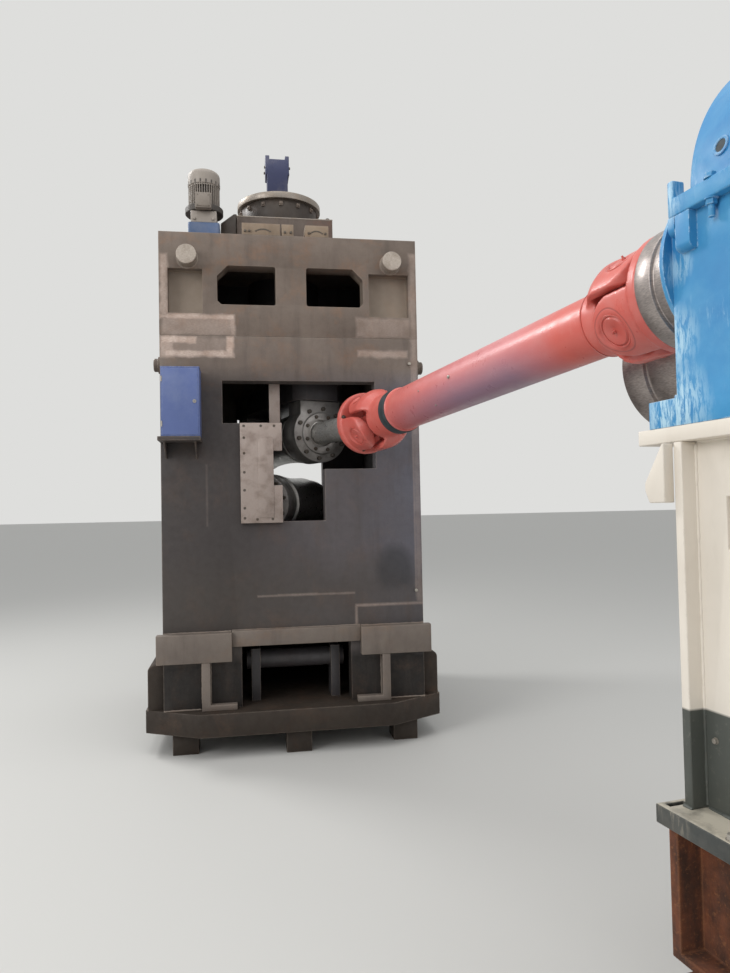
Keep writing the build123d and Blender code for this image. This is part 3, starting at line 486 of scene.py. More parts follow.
def front_marks(tree, tone, height):
    """The places ground bare on the front, a dark patch at its lower right, and the head's recessed panels
    drawn paler, a painted light that lifts their shade.
    """
    ragged = grain(tree, 1000 / 11, 5.0, 0.5)
    bare = greatest(tree, *[ground_place(tree, ragged, *row) for row in GROUND_PLACES])
    brushed = stack(tree, "#b5a195",
                    ("#d4c1b5", (grain(tree, 5, 3.0, 0.7, stretch=(0.25, 0.25, 1.0)), 0.38, 0.66)),
                    ("#8f7462", (grain(tree, 120, 5.0), 0.45, 0.7, 0.0, 0.6)))
    flat = spot_place(tree, (1.0, 0.0, 0.72))
    away = add(tree, "ShaderNodeVectorMath", {0: flat, 1: (0.775, 0.0, 0.948)}, "Value", operation="DISTANCE")
    depth = measure(tree, "Y")
    # A dark arch-shaped patch at the lower right of the front, above 1.14 m
    dark_patch = (swayed(tree, away, ragged, 0.036), 0.175, 0.105, 0.0, 0.65)
    # The head's recessed panels, drawn paler as painted light against the recess's shade
    recess = ((depth, FRONT + 0.05, FRONT + 0.07), (depth, FRONT + 0.14, FRONT + 0.12),
              (beyond(tree, measure(tree, "X"), 0.0, 0.50), 0.0, 0.02), (measure(tree, "Z"), 3.20, 3.25))
    return stack(tree, tone, (brushed, bare), ("#353538", dark_patch, (height, 1.14, 1.22)),
                 ("#968879", *recess, 0.7))


def hot_rolled_plate(name, base, pale, dark, rust, rusting=0.5, oil=0.0, front=False):
    """Hot-rolled steel plate: dull mill scale in clouds, thin rust, rubbed edges, and on the front its marks
    and its painted light and shade.
    """
    made, tree = material(name)
    clouds = grain(tree, 420, 6.0, 0.6)
    tone = stack(tree, base, (pale, (clouds, 0.32, 0.68)))
    rusty = [(grain(tree, 260, 8.0, 0.62, warp=0.6), 0.50, 0.70),
             (grain(tree, 22, 4.0, 0.6), 0.35, 0.65, 0.25, 1.0)]
    if front:
        drift = grain(tree, 300)
        side = swayed(tree, measure(tree, "X"), drift, 0.5)
        height = swayed(tree, measure(tree, "Z"), drift, 0.175)
        tone = front_tones_and_painted_shade(tree, tone, side, height)
        rusty.append((measure(tree, "Z"), 2.4, 3.2, 0.25, 1.0))
    tone = stack(tree, tone,
                 (dark, (grain(tree, 90, 4.0, 0.6, stretch=(1.0, 1.0, 0.14)), 0.50, 0.74, 0.0, 0.38)),
                 (dark, (grain(tree, 9, 3.0, 0.7), 0.56, 0.70, 0.0, 0.28)),
                 (rust, *rusty, rusting),
                 ("#94877a", worn_edges(tree, 0.012), (grain(tree, 60), 0.35, 0.6, 0.2, 0.75)))
    if front:
        tone = front_marks(tree, tone, height)
    pits = grain(tree, 14, 5.0, 0.6)
    height = add(tree, "ShaderNodeMath", {0: clouds, 1: 2.0, 2: pits}, operation="MULTIPLY_ADD")
    return coat(made, tone, 0.2, (grain(tree, 55), 0.3, 0.7, 0.58 - oil, 0.78 - oil), height, 0.0012)


def machined_steel(name, light, dark, turning=1.2, tarnish="#8a7a68", amount=0.35, roughness=0.34,
                   metal=0.75):
    """Turned or milled bare steel: fine tool marks, soft reflections and a little tarnish."""
    made, tree = material(name)
    marks = grain(tree, turning * 4, 2.0, 0.5, stretch=(1.0, 1.0, 6.0))
    tone = stack(tree, dark, (light, (marks, 0.3, 0.7)),
                 (tarnish, (grain(tree, 90, 6.0, 0.6), 0.46, 0.70, 0.0, amount)))
    sheen = (grain(tree, 40), 0.3, 0.7, roughness - 0.05, roughness + 0.13)
    return coat(made, tone, metal, sheen, marks, 0.0001, 0.3)


def enamel(name, base, shade, chip, wear, roughness, scuff=None, scuffs=0.0, dust="#b9b0a2", dusty=0.12,
           spots=(), dust_and_painted_underside=(), groove=(), top=None):
    """Sprayed machine enamel: even colour, orange peel, chipped edges, scuffs and dust."""
    made, tree = material(name)
    tone = stack(tree, base, (shade, (grain(tree, 300, 5.0), 0.3, 0.7)),
                 (dust, (grain(tree, 160, 6.0, 0.65), 0.46, 0.75, 0.0, dusty)))
    if scuff:
        scratches = grain(tree, 16, 8.0, 0.72, stretch=(1.0, 1.0, 0.22), warp=0.4)
        light = share(tree, (grain(tree, 240, 3.0), 0.52, 0.68), (scratches, 0.52, 0.60, 0.0, scuffs))
        hard = share(tree, near_spots(tree, spots), (scratches, 0.44, 0.55))
        tone = stack(tree, tone, (scuff, greatest(tree, light, hard)))
    tone = stack(tree, tone, (chip, worn_edges(tree, 0.007), (grain(tree, 26, 5.0, 0.7), 0.46, 0.56), wear))
    if top:
        worn = (grain(tree, 150, 6.0, 0.6), 0.30, 0.46, 0.2, 1.0)
        tone = stack(tree, tone, (top, (upward(tree), 0.8, 0.95), worn))
    if dust_and_painted_underside:
        # Pinkish dust along the tube, and on its underside a painted violet shade and reflection
        run = measure(tree, "Y")
        along = share(tree, (run, -1.90, -2.85), (run, -3.75, -3.35))
        tone = stack(tree, tone, (dust_and_painted_underside[0], along, 0.5), (dust_and_painted_underside[1], along, (upward(tree), 0.15, -0.75), 0.80))
    height = grain(tree, 6, 2.0)
    if groove:
        cut = turned_groove(tree, *groove)
        # The groove drawn darker red: painted shade in the crease
        tone = stack(tree, tone, ("#8d4743", cut, 0.55))
        height = add(tree, "ShaderNodeMath", {0: cut, 1: -3.0, 2: height}, operation="MULTIPLY_ADD")
    return coat(made, tone, 0.0, (grain(tree, 70), 0.3, 0.7, roughness, roughness + 0.18), height, 0.0004)


def rusted_steel(name):
    """Structural steel left outside: orange and brown rust in layers, rough all over."""
    made, tree = material(name)
    tone = stack(tree, "#38241a",
                 ("#744127", (grain(tree, 180, 7.0, 0.65), 0.35, 0.65)),
                 ("#30211a", (grain(tree, 60, 6.0, 0.6, stretch=(1, 1, 0.3)), 0.48, 0.68, 0.0, 0.8)),
                 ("#a0683e", (grain(tree, 14, 5.0, 0.7), 0.55, 0.72, 0.0, 0.5)),
                 ("#93603c", worn_edges(tree, 0.012), 0.6))
    sheen = (grain(tree, 30), 0.3, 0.7, 0.72, 0.92)
    return coat(made, tone, 0.1, sheen, grain(tree, 10, 6.0, 0.65), 0.0016, 0.7)


def seal_rubber(name):
    """Moulded nitrile rubber: near black, matt, dusty."""
    made, tree = material(name)
    tone = stack(tree, "#262e31", ("#3c474b", (grain(tree, 60, 5.0), 0.35, 0.7)))
    return coat(made, tone, 0.0, 0.62, grain(tree, 5, 3.0), 0.0004)


def two_tone_enamel(name, split):
    """Cream enamel above a dark grey foot band, soiled in upright streaks."""
    made, tree = material(name)
    soil = grain(tree, 130, 7.0, 0.65, stretch=(1, 1, 0.35))
    cream = stack(tree, "#e4dcd0", ("#d8cfc2", (grain(tree, 500, 5.0), 0.3, 0.7)),
                  ("#b5ab9b", (soil, 0.54, 0.80, 0.0, 0.28)))
    grey = stack(tree, "#4f524d", ("#444742", (grain(tree, 350, 6.0), 0.3, 0.7)),
                 ("#7d7c72", (grain(tree, 24, 6.0, 0.7), 0.58, 0.70, 0.0, 0.30)))
    tone = stack(tree, cream, (grey, (measure(tree, "Z"), split + 0.004, split - 0.004)),
                 ("#6b5a4a", worn_edges(tree, 0.006), (grain(tree, 26, 5.0, 0.7), 0.52, 0.60), 0.5))
    return coat(made, tone, 0.0, (grain(tree, 80), 0.3, 0.7, 0.42, 0.62), grain(tree, 7, 2.0), 0.0004)


# Plates: dull grey brown scale that hides the form's edges, drier on the head, and greasy inside, where the
# plate is drawn near black as painted shade
stand_plate = hot_rolled_plate("hot_rolled_plate_stand", "#675b53", "#756960", "#463e39", "#8a654a",
                               front=True)
head_plate = hot_rolled_plate("hot_rolled_plate_head", "#64584f", "#776a60", "#473e38", "#8d6547", 0.6,
                              front=True)
block_plate = hot_rolled_plate("flame_cut_block_plate", "#6b615a", "#7a7067", "#4b433d", "#83664f", 0.35)
# Base slab, feet and wings: near black, partly dark scale and partly painted shade at the floor
slab_plate = hot_rolled_plate("base_slab_plate", "#2a211a", "#382f27", "#1d1814", "#523928")
# Inside plates: the oil gives their low sheen, their near black is painted shade
inside_plate_painted_shade = hot_rolled_plate("oily_plate_inside_painted_shade", "#3a3737", "#494648", "#252323", "#4f4139", 0.3, oil=0.2)
# Cast cases: darker and browner than plate, with the low sheen of old oil
gear_iron = hot_rolled_plate("cast_iron_gear_cases", "#4e413a", "#5c5047", "#352c28", "#6e4735", 0.6, oil=0.1)
wheel_iron = hot_rolled_plate("oily_cast_iron_wheel_case", "#362e29", "#423931", "#26201d", "#54392b", 0.4,
                              oil=0.15)
# A milled face under a warm bloom of new rust; weld metal a little paler than the plate it joins
rusty_block = hot_rolled_plate("milled_block_with_flash_rust", "#7d6c5b", "#8f7e6b", "#574839", "#8c6140",
                               0.8)
bead_metal = hot_rolled_plate("weld_metal", "#6a6058", "#857a70", "#49413b", "#7b5d45")
# Bare steel: from the half dull, stained faces of bars and rings to the rolls' broad bright reflections
turned_steel = machined_steel("faced_bar_steel", "#bdb2a7", "#968b80", 4.0, "#7d6f61", 0.6, 0.45, 0.5)
ring_steel = machined_steel("machined_ring_steel", "#a0978e", "#7a7168", amount=0.6, roughness=0.4, metal=0.6)
hub_steel = machined_steel("turned_hub_steel", "#b5aaa4", "#8f8885", 5.0, "#7a7371", 0.4, 0.34, 0.8)
# The chucks are drawn paler than their casting, a painted light that lifts the shade of their recess
chuck_steel = machined_steel("oiled_chuck_casting_painted_light", "#b4afab", "#8d8985", 1.2, "#55514e", 0.55, 0.38, 0.5)
guide_steel = machined_steel("ground_guide_plate", "#ad9f97", "#8f827a", 1.2, "#705f55", 0.6, 0.5, 0.35)
roll_steel = machined_steel("ground_roll_steel", "#cfcdc9", "#aeaba6", 8.0, amount=0.25, roughness=0.3)
# Screws: blackened ones show as dark dots, zinc plated ones as small bright points
bolt_steel = machined_steel("blackened_bolt_steel", "#6c655d", "#443f3a", 1.2, "#54402f", 0.6, 0.5, 0.5)
zinc_steel = machined_steel("zinc_plated_screws", "#b9b4ab", "#99938a", amount=0.3, roughness=0.4, metal=0.7)
# Primer red of the joint shaft: half glossy, pinkish dust along the tube with a painted violet shade and
# reflection on its underside, and a groove round its near cap, darkened as painted shade
cross_turn = turned(turned(Matrix.Rotation(DRIVE_TURN, 4, "Z"), math.pi / 2, "X"), JOINT_PHASE)
red_enamel = enamel("primer_red_enamel", "#d1655a", "#c2584f", "#6f5a52", 0.35, 0.26, "#dd9b90", 0.25,
                    "#cf938c", 0.35, dust_and_painted_underside=("#c58f96", "#84748a"),
                    groove=(DRIVE_JOINT, cross_turn.to_3x3() @ Vector((1, 0, 0)), 0.094))
# Light blue of the gearbox: chalky, scraped white where slings rubbed its near corner
BLUE_SCRAPES = ((0.995, -4.545, 2.110, 0.19, 0.95), (0.995, -4.560, 2.330, 0.13, 0.8),
                (0.955, -4.560, 2.780, 0.12, 0.9), (1.000, -4.600, 2.560, 0.07, 0.6),
                (0.900, -4.490, 2.080, 0.15, 0.8), (1.020, -4.690, 2.885, 0.05, 0.9))
blue_enamel = enamel("light_blue_enamel", "#2979b0", "#3f93c3", "#c5dbe8", 0.7, 0.42, "#aed0e0", 0.4,
                     "#64a4c6", 0.4, spots=BLUE_SCRAPES)
# Powder coat and enamels of the fittings: even, half matt, with bare metal only at their edges
box_enamel = enamel("powder_blue_coat", "#5a6a9c", "#50608f", "#a3aabd", 0.6, 0.45, dust="#7f8aa6", dusty=0.3)
terminal_enamel = enamel("terminal_box_enamel", "#867c72", "#766d64", "#5d554d", 0.5, 0.45)
reducer_enamel = enamel("steel_blue_enamel", "#465b7f", "#394d6c", "#8b949c", 0.7, 0.4)
motor_enamel = enamel("motor_grey_enamel", "#a0978e", "#90877e", "#6a645c", 0.5, 0.42)
# Black enamel of the motor flange, also the painted shade on the motor's core and in the fan cover's slots
motor_black_and_painted_shade = enamel("black_motor_flange_and_painted_shade_enamel", "#35302c", "#443e39", "#6a645c", 0.4, 0.5)
navy_enamel = enamel("navy_enamel", "#2b3157", "#242a4b", "#5d607a", 0.4, 0.4)
# Pedestal: clean cream over a dark foot band, and a foot flange trodden pale on top
cream_enamel = two_tone_enamel("cream_and_grey_enamel", 1.150)
flange_enamel = enamel("dark_grey_enamel", "#3c3f3d", "#333533", "#a39a86", 0.6, 0.5, "#a39a88", 0.45,
                       top="#b3ac9c")
# Beams under the pedestal: warm, rough, without shine; the seal is a soft black line on the red shaft, and
# the same black rubber is the painted shade in the gearbox's lifting holes
rust_steel = rusted_steel("rusted_section_steel")
rubber = seal_rubber("nitrile_seal_rubber_and_hole_shade")


# The welded stand

def dress_stand():
    """The plates of the stand, with broken and flame-cut edges."""
    dress_all(
        ("front_plate rear_plate side_walls", stand_plate, "stand_steel", 0.004),
        ("head_front_plate head_rear_plate", head_plate, "head_steel", 0.004),
        ("base_slab base_feet side_wings", slab_plate, "stand_steel", 0.005),
        ("corner_blocks foot_ribs ledge_bars", block_plate, "stand_steel", 0.005),
        ("head_deck", head_plate, "head_steel", 0.003),
        ("head_floor", inside_plate_painted_shade, "head_steel", 0.003),
        ("lower_deck nut_housing upper_saddle lower_saddle adjusting_shaft", inside_plate_painted_shade, "dark_steel", 0.004),
        ("guide_plate", guide_steel, "guide_steel", 0.002),
        ("lifting_trunnions", turned_steel, "machined_steel", 0.003),
        ("side_stubs", gear_iron, "machined_steel", 0.002),
        ("upper_chucks lower_chucks", chuck_steel, "dark_steel", 0.005))


def weld_stand():
    """The weld beads of the stand, laid in its corners."""
    slab_top, wing_top, block_top, ledge_top = 0.336, 0.668, 0.905, 0.911
    block_inner, block_outer, foot_inner, slab_side = 0.492, 0.990, 0.720, 1.112
    wing_half = 1.035
    work = bmesh.new()
    for face in (-1, 1):
        y = -face * FRONT
        for side in (-1, 1):
            for x in (0.648, 0.710):
                add_bead(work, (side * x, y, 0.380), (side * x, y, 0.688), 0.007)
            add_bead(work, (side * block_inner, y, block_top), (side * block_outer, y, block_top), 0.007)
            add_bead(work, (side * foot_inner, y, slab_top), (side * block_outer, y, slab_top), 0.007)
            add_bead(work, (side * 0.486, y, ledge_top), (0, y, ledge_top))
    for side in (-1, 1):
        x = side * STAND_RIGHT
        for face in (-1, 1):
            y = -face * (FRONT + 0.150)
            add_bead(work, (x, y, 0.700), (x, y, SEAM_Z - 0.02))
            add_bead(work, (x, y, SEAM_Z + 0.02), (x, y, STAND_TOP - 0.01))
        add_bead(work, (x, -wing_half, wing_top), (x, wing_half, wing_top), 0.007)
        x = side * slab_side
        add_bead(work, (x, -wing_half, slab_top), (x, wing_half, slab_top), 0.007)
    for place in bar_places(-FRONT):
        add_turned(work, [(0.072, 0.001), (0.083, 0.001), (0.072, 0.010)], place, steps=40, closed=True)
    new_piece("stand_weld_beads", work, bead_metal, sharp=60)


def face_bar_ends():
    """The turned ends of the four lifting bars, each with its centre hole and its tool marks."""
    step = 0.0060
    outline = [(0.0, -0.0040), (0.0035, 0.0002)]
    for count in range(1, 12):
        outline += [(step * count, 0.0012), (step * count + 0.0030, 0.0004)]
    outline += [(0.0690, 0.0010), (0.0700, -0.0020), (0.0, -0.0060)]
    work = bmesh.new()
    for place in bar_places(BAR_END):
        add_turned(work, outline, place, steps=64)
    new_piece("lifting_bar_faces", work, turned_steel, sharp=180)


def fit_guide_screws():
    """The small socket screws round the guide plate and the bolts of the roll chucks."""
    guide_face = FRONT - 0.042
    work = bmesh.new()
    spots = [(-0.378, z) for z in (2.450, 2.360, 2.243, 2.099, 1.963, 1.828, 1.752)]
    spots += [(-0.250, 2.450), (-0.150, 2.450), (-0.285, 1.742), (-0.170, 1.742)]
    for x, z in spots:
        place = facing((x, guide_face, z), (0, -1, 0))
        add_ring(work, place, 0.0065, 0.0100, 0.0012, 0.0003)
        add_drum(work, raised(place, 0.0002), 0.0065, 0.0006, sides=6)
    for skew, height in ((ROLL_SKEW, UPPER_ROLL_Z), (-ROLL_SKEW, LOWER_ROLL_Z)):
        for end in (0, math.pi):
            face = raised(turned(roll_place(skew, height), end, "Y"), 0.740)
            for point, out in circle_spots(face, 0.206, 10, math.radians(12)):
                add_socket_screw(work, point, out, 0.017)
            for point, out in circle_spots(raised(face, 0.022), 0.142, 8, math.radians(20)):
                add_hex_bolt(work, point, out, 0.024)
    new_piece("stand_screws", work, bolt_steel)
    work = bmesh.new()
    for x, z in ((0.921, 2.944), (0.938, 1.160)):
        add_socket_screw(work, (x, FRONT + 0.001, z), (0, -1, 0), 0.012)
    new_piece("earth_studs", work, zinc_steel)


# Rolls and joint shaft

def dress_shafts():
    """The ground rolls, the painted joint shaft with its forged yokes and seal, and the hubs."""
    dress_all(
        ("upper_roll", roll_steel, "roll_steel", 0.004, "upper_roll_body"),
        ("lower_roll", roll_steel, "roll_steel", 0.004, "lower_roll_body"))
    forged("roll_yoke", red_enamel, "upper_roll_body")
    forged("gearbox_yoke", red_enamel, "output_body")
    forged("cardan_shaft", red_enamel, "cardan_body")
    dress_all(
        ("joint_crosses", red_enamel, "red_paint", 0.006, "cardan_body"),
        ("seal_band", rubber, "seal_rubber", 0.004, "cardan_body"),
        ("output_hub", hub_steel, "machined_steel", 0.003, "output_body"),
        ("second_hub", hub_steel, "machined_steel", 0.003, "second_output_body"))


def add_bearing_caps(work, place):
    """Adds a yoke's two bearing caps: a dished disc in a snap ring, with a grease nipple."""
    for side in (-1, 1):
        cap = raised(turned(place, math.pi / 2 * side, "Y"), CAP_REACH)
        add_turned(work, [(0.0, 0.004), (0.020, 0.004), (0.026, 0.007), (0.056, 0.007), (0.062, 0.001),
                          (0.062, -0.004), (0.0, -0.004)], cap, steps=40)
        add_ring(work, cap, 0.065, 0.072, 0.005, 0.001)
        add_drum(work, raised(cap, 0.003), 0.008, 0.010, sides=6, edge=0.001)
        add_drum(work, raised(cap, 0.012), 0.0045, 0.010, sides=12, edge=0.001)


def fit_joint_shaft():
    """Caps, flange nuts, welds and grease nipples of the joint shaft."""
    roll_end = turned(roll_place(ROLL_SKEW, UPPER_ROLL_Z, JOINT_REACH), math.pi, "X")
    output_end = turned(drive_place(DRIVE_JOINT.z), math.pi / 2, "X")
    for name, place, body in (("roll", turned(roll_end, -JOINT_PHASE), "upper_roll_body"),
                              ("output", turned(output_end, JOINT_PHASE), "output_body")):
        work = bmesh.new()
        add_bearing_caps(work, place)
        new_piece(name + "_yoke_caps", work, red_enamel, body)
        work = bmesh.new()
        back = turned(raised(place, YOKE_BACK), math.pi, "X")
        for index, (point, out) in enumerate(circle_spots(back, 0.196, 12, math.radians(15))):
            if index % 6 not in (2, 3):
                add_nut(work, point, out, 0.024)
        new_piece(name + "_flange_nuts", work, bolt_steel, body)
    work = bmesh.new()
    add_bearing_caps(work, shaft_place(True, 0, math.pi / 2 + JOINT_PHASE))
    add_bearing_caps(work, shaft_place(False, 0, math.pi / 2 - JOINT_PHASE))
    seal_end, weld_end = YOKE_BACK + 0.299, YOKE_BACK + 0.090
    add_turned(work, [(0.136, 0.0), (0.146, 0.002), (0.148, 0.010), (0.142, 0.018), (0.136, 0.020)],
               shaft_place(True, seal_end), steps=64, closed=True)
    add_turned(work, [(0.136, -0.004), (0.149, -0.004), (0.146, 0.006), (0.136, 0.014)],
               shaft_place(False, weld_end), steps=64, closed=True)
    for along, degrees in ((0.26, -60), (0.30, 110)):
        nipple = raised(shaft_side(along, degrees), 0.146)
        add_drum(work, nipple, 0.009, 0.010, sides=6, edge=0.001)
        add_drum(work, raised(nipple, 0.010), 0.005, 0.010, sides=12, edge=0.001)
    new_piece("joint_shaft_fittings", work, red_enamel, "cardan_body")
    work = bmesh.new()
    for along, degrees, radius in ((1.294, 173.4, 0.010), (0.927, 173.4, 0.005), (1.065, -136.1, 0.005)):
        plug = raised(shaft_side(along, degrees), TUBE_RADIUS + 0.0002)
        add_drum(work, plug, radius, radius, sides=16, edge=radius * 0.2)
    new_piece("tube_plugs", work, zinc_steel, "cardan_body")


# Gearbox and pedestal

def dress_gearbox():
    """The gearbox and its pedestal."""
    dress_all(
        ("gearbox_case split_flange gearbox_cover", blue_enamel, "blue_paint", 0.006, "stand", 3),
        ("pedestal_body pedestal_top_plate lifting_ears", cream_enamel, "cream_paint", 0.004),
        ("pedestal_base", flange_enamel, "cream_paint", 0.004),
        ("floor_beams upper_beams", rust_steel, "rusty_steel", 0.004))


def fit_gearbox():
    """Joint bolts, bearing covers, lifting eyes, plugs and the foot bolts of the gearbox."""
    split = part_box("split_flange")[0].z
    flange_top = split + 0.060
    foot_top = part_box("gearbox_case")[0].z + 0.090
    cover_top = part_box("gearbox_cover")[1].z
    near_wall, far_wall = -0.420, -1.320
    place = drive_place()
    turn = place.to_3x3()
    up, down, end_face = Vector((0, 0, 1)), Vector((0, 0, -1)), (turn @ Vector((0, 1, 0))).normalized()
    bolts = bmesh.new()
    covers = bmesh.new()
    for v in (-0.267, 0.967):
        for u in (-0.612, -0.845, -1.130):
            add_nut(bolts, place @ Vector((v, u, split)), down)
            stud = facing(place @ Vector((v, u, split - 0.020)), down)
            add_drum(bolts, stud, 0.010, 0.036, sides=14, edge=0.001)
            add_hex_bolt(bolts, place @ Vector((v, u, flange_top)), up)
    for v in (-0.180, 0.120, 0.420, 0.720, 0.880):
        for u in (-0.355, -1.385):
            add_hex_bolt(bolts, place @ Vector((v, u, foot_top)), up, 0.034)
    hubs = ((0.0, DRIVE_JOINT.z, 0.236, 0.288), (SECOND_HUB_V, SECOND_HUB_Z, 0.190, 0.262))
    for v, z, inner, outer in hubs:
        ring = facing(place @ Vector((v, near_wall, z)), end_face)
        add_ring(covers, ring, inner, outer, 0.020, 0.003)
        for point, out in circle_spots(raised(ring, 0.020), (inner + outer) / 2, 8):
            add_hex_bolt(bolts, point, out, 0.020)
    for v, z, inner, outer in hubs:
        cap = facing(place @ Vector((v, far_wall, z)), -end_face)
        add_turned(covers, [(0.0, 0.026), (0.120, 0.026), (0.126, 0.020), (0.230, 0.020), (0.235, 0.014),
                            (0.235, 0.0), (0.0, 0.0)], cap, steps=56)
        for point, out in circle_spots(raised(cap, 0.020), 0.200, 8, 0.3):
            add_hex_bolt(bolts, point, out, 0.022)
    add_box(covers, (0.170, -1.000, cover_top - 0.030), (0.530, -0.700, cover_top - 0.004), 0.004, 2, place)
    add_ring(covers, facing(place @ Vector((0.350, -0.850, cover_top - 0.006)), up), 0.030, 0.060, 0.006)
    # Black discs in the lifting eyes: painted shade standing for the holes
    holes = bmesh.new()
    for u in (-0.579, -1.161):
        eye = facing(place @ Vector((-0.1905, u, 2.900)), turn @ Vector((-0.983, 0, 0.182)))
        add_ring(covers, eye, 0.020, 0.030, 0.006)
        add_drum(holes, eye, 0.020, 0.003)
    new_piece("lifting_hole_painted_shade", holes, rubber)
    for v, face in ((-0.2495, -1), (0.9495, 1)):
        for u, z in ((-0.700, 2.180), (-1.100, 2.200)):
            plug = facing(place @ Vector((v, u, z)), turn @ Vector((face, 0, 0)))
            add_ring(covers, plug, 0.020, 0.034, 0.008)
            add_drum(bolts, plug, 0.020, 0.014, sides=6, edge=0.002)
    new_piece("gearbox_bolts", bolts, blue_enamel)
    new_piece("gearbox_covers", covers, blue_enamel)


def fit_pedestal():
    """Welds and screws of the pedestal."""
    low, high = [corner.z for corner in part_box("pedestal_body")]
    place = drive_place()
    beads = bmesh.new()
    for v, inward in ((-0.250, 1), (0.950, -1)):
        wall = v + 0.058 * inward
        for u in (-0.431, -1.309):
            add_bead(beads, place @ Vector((wall, u, low + 0.01)), place @ Vector((wall, u, high - 0.01)))
        for z, radius in ((low, 0.007), (high, 0.006)):
            add_bead(beads, place @ Vector((wall, -0.440, z)), place @ Vector((wall, -1.300, z)), radius)
        for u, inner in ((-0.395, -0.431), (-1.345, -1.309)):
            corner = place @ Vector((v, u, low))
            add_bead(beads, corner, place @ Vector((v + 0.5 * inward, u, low)), 0.007)
            add_bead(beads, corner, place @ Vector((v, inner, low)), 0.007)
    new_piece("pedestal_weld_beads", beads, cream_enamel, sharp=60)
    screws = bmesh.new()
    for u in (-0.475, -1.265):
        add_hex_bolt(screws, place @ Vector((-0.192, u, 1.060)), place.to_3x3() @ Vector((-1, 0, 0)), 0.016)
    spots = [(v, u) for v in (-0.295, 0.995) for u in (-0.640, -0.870, -1.100)]
    for v, u in spots + [(0.05, -0.370), (0.35, -0.370), (0.65, -0.370)]:
        add_hex_bolt(screws, place @ Vector((v, u, low)), (0, 0, 1))
    new_piece("pedestal_bolts", screws, zinc_steel)


# Screw-down gear and fittings

def dress_screwdown():
    """The screw-down gear on top of the head."""
    dress_all(
        ("gear_base", gear_iron, "head_steel", 0.005),
        ("worm_case", wheel_iron, "head_steel", 0.008),
        ("wheel_case", wheel_iron, "head_steel", 0.005),
        ("seat_blocks", rusty_block, "head_steel", 0.003),
        ("wheel_flange", ring_steel, "machined_steel", 0.003),
        ("balance_cylinder", navy_enamel, "navy_paint", 0.004),
        ("screwdown_reducer", reducer_enamel, "reducer_blue", 0.006),
        ("motor_fan_cover", motor_enamel, "motor_grey", 0.002),
        ("motor_terminal_box", terminal_enamel, "motor_grey", 0.002),
        ("electrical_box", box_enamel, "box_blue", 0.004, "stand", 3),
        ("box_shelf", head_plate, "head_steel", 0.002))


def build_motor():
    """The screw-down motor: a core drawn dark as painted shade between thin fins, its round flange, the
    square adapter, and dark slots on the fan cover as painted shade.
    """
    x, y = -0.672, -0.600
    middle = Matrix.Translation((x, y, 0))
    low, top = [corner.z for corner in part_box("screwdown_motor")]
    flange_low = low + 0.101
    body_low = flange_low + 0.052
    work = bmesh.new()
    add_box(work, (-0.104, -0.120, low), (0.104, 0.120, flange_low), 0.010, 3, middle)
    for side in (-0.075, 0.075):
        add_hex_bolt(work, (x + side, y - 0.1195, low + 0.030), (0, -1, 0), 0.020)
    adapter = new_piece("motor_adapter", work, motor_enamel)
    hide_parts("screwdown_motor")
    work = bmesh.new()
    add_turned(work, [(0.0, 0.0), (0.150, 0.0), (0.154, 0.004), (0.154, 0.046), (0.148, 0.052), (0.0, 0.052)],
               raised(middle, flange_low), steps=64)
    bmesh.ops.bisect_plane(work, geom=[*work.verts, *work.edges, *work.faces], plane_co=(x, y - 0.142, 0),
                           plane_no=(0, -1, 0), clear_outer=True)
    bmesh.ops.holes_fill(work, edges=[line for line in work.edges if len(line.link_faces) == 1], sides=0)
    for aside, behind in ((0.125, 0.04), (-0.125, 0.04), (0.06, 0.12), (-0.06, 0.12)):
        add_hex_bolt(work, (x + aside, y + behind, body_low), (0, 0, 1), 0.020)
    # The core under the fins is drawn dark: painted shade between the fins
    add_drum(work, raised(middle, body_low), 0.108, top - body_low, sides=48)
    new_piece("motor_flange_and_core", work, motor_black_and_painted_shade)
    work = bmesh.new()
    for spoke in spokes(middle, 40, math.tau / 80):
        add_box(work, (0.100, -0.0022, body_low + 0.006), (0.127, 0.0022, top), place=spoke)
    for height in (body_low, top - 0.012):
        add_ring(work, raised(middle, height), 0.104, 0.122, 0.012)
    new_piece("motor_fins", work, motor_enamel)
    work = bmesh.new()
    cover_low, cover_top = [corner.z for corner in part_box("motor_fan_cover")]
    # Dark patches and rings on the fan cover: painted shade in its slots
    for spoke in spokes(middle, 18):
        add_box(work, (0.128, -0.006, cover_low + 0.004), (0.1312, 0.006, cover_low + 0.030), place=spoke)
    for radius in (0.024, 0.046, 0.068):
        add_ring(work, raised(middle, cover_top - 0.0015), radius, radius + 0.010, 0.0022, 0.0006)
    new_piece("fan_cover_slots", work, motor_black_and_painted_shade)
    work = bmesh.new()
    near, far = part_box("motor_terminal_box")
    add_box(work, (near.x + 0.010, near.y - 0.006, near.z + 0.010),
            (far.x - 0.010, near.y + 0.002, far.z - 0.010), 0.003)
    for screw_x in (near.x + 0.020, far.x - 0.020):
        for screw_z in (near.z + 0.020, far.z - 0.020):
            add_socket_screw(work, (screw_x, near.y - 0.006, screw_z), (0, -1, 0), 0.004)
    new_piece("terminal_box_lid", work, terminal_enamel)


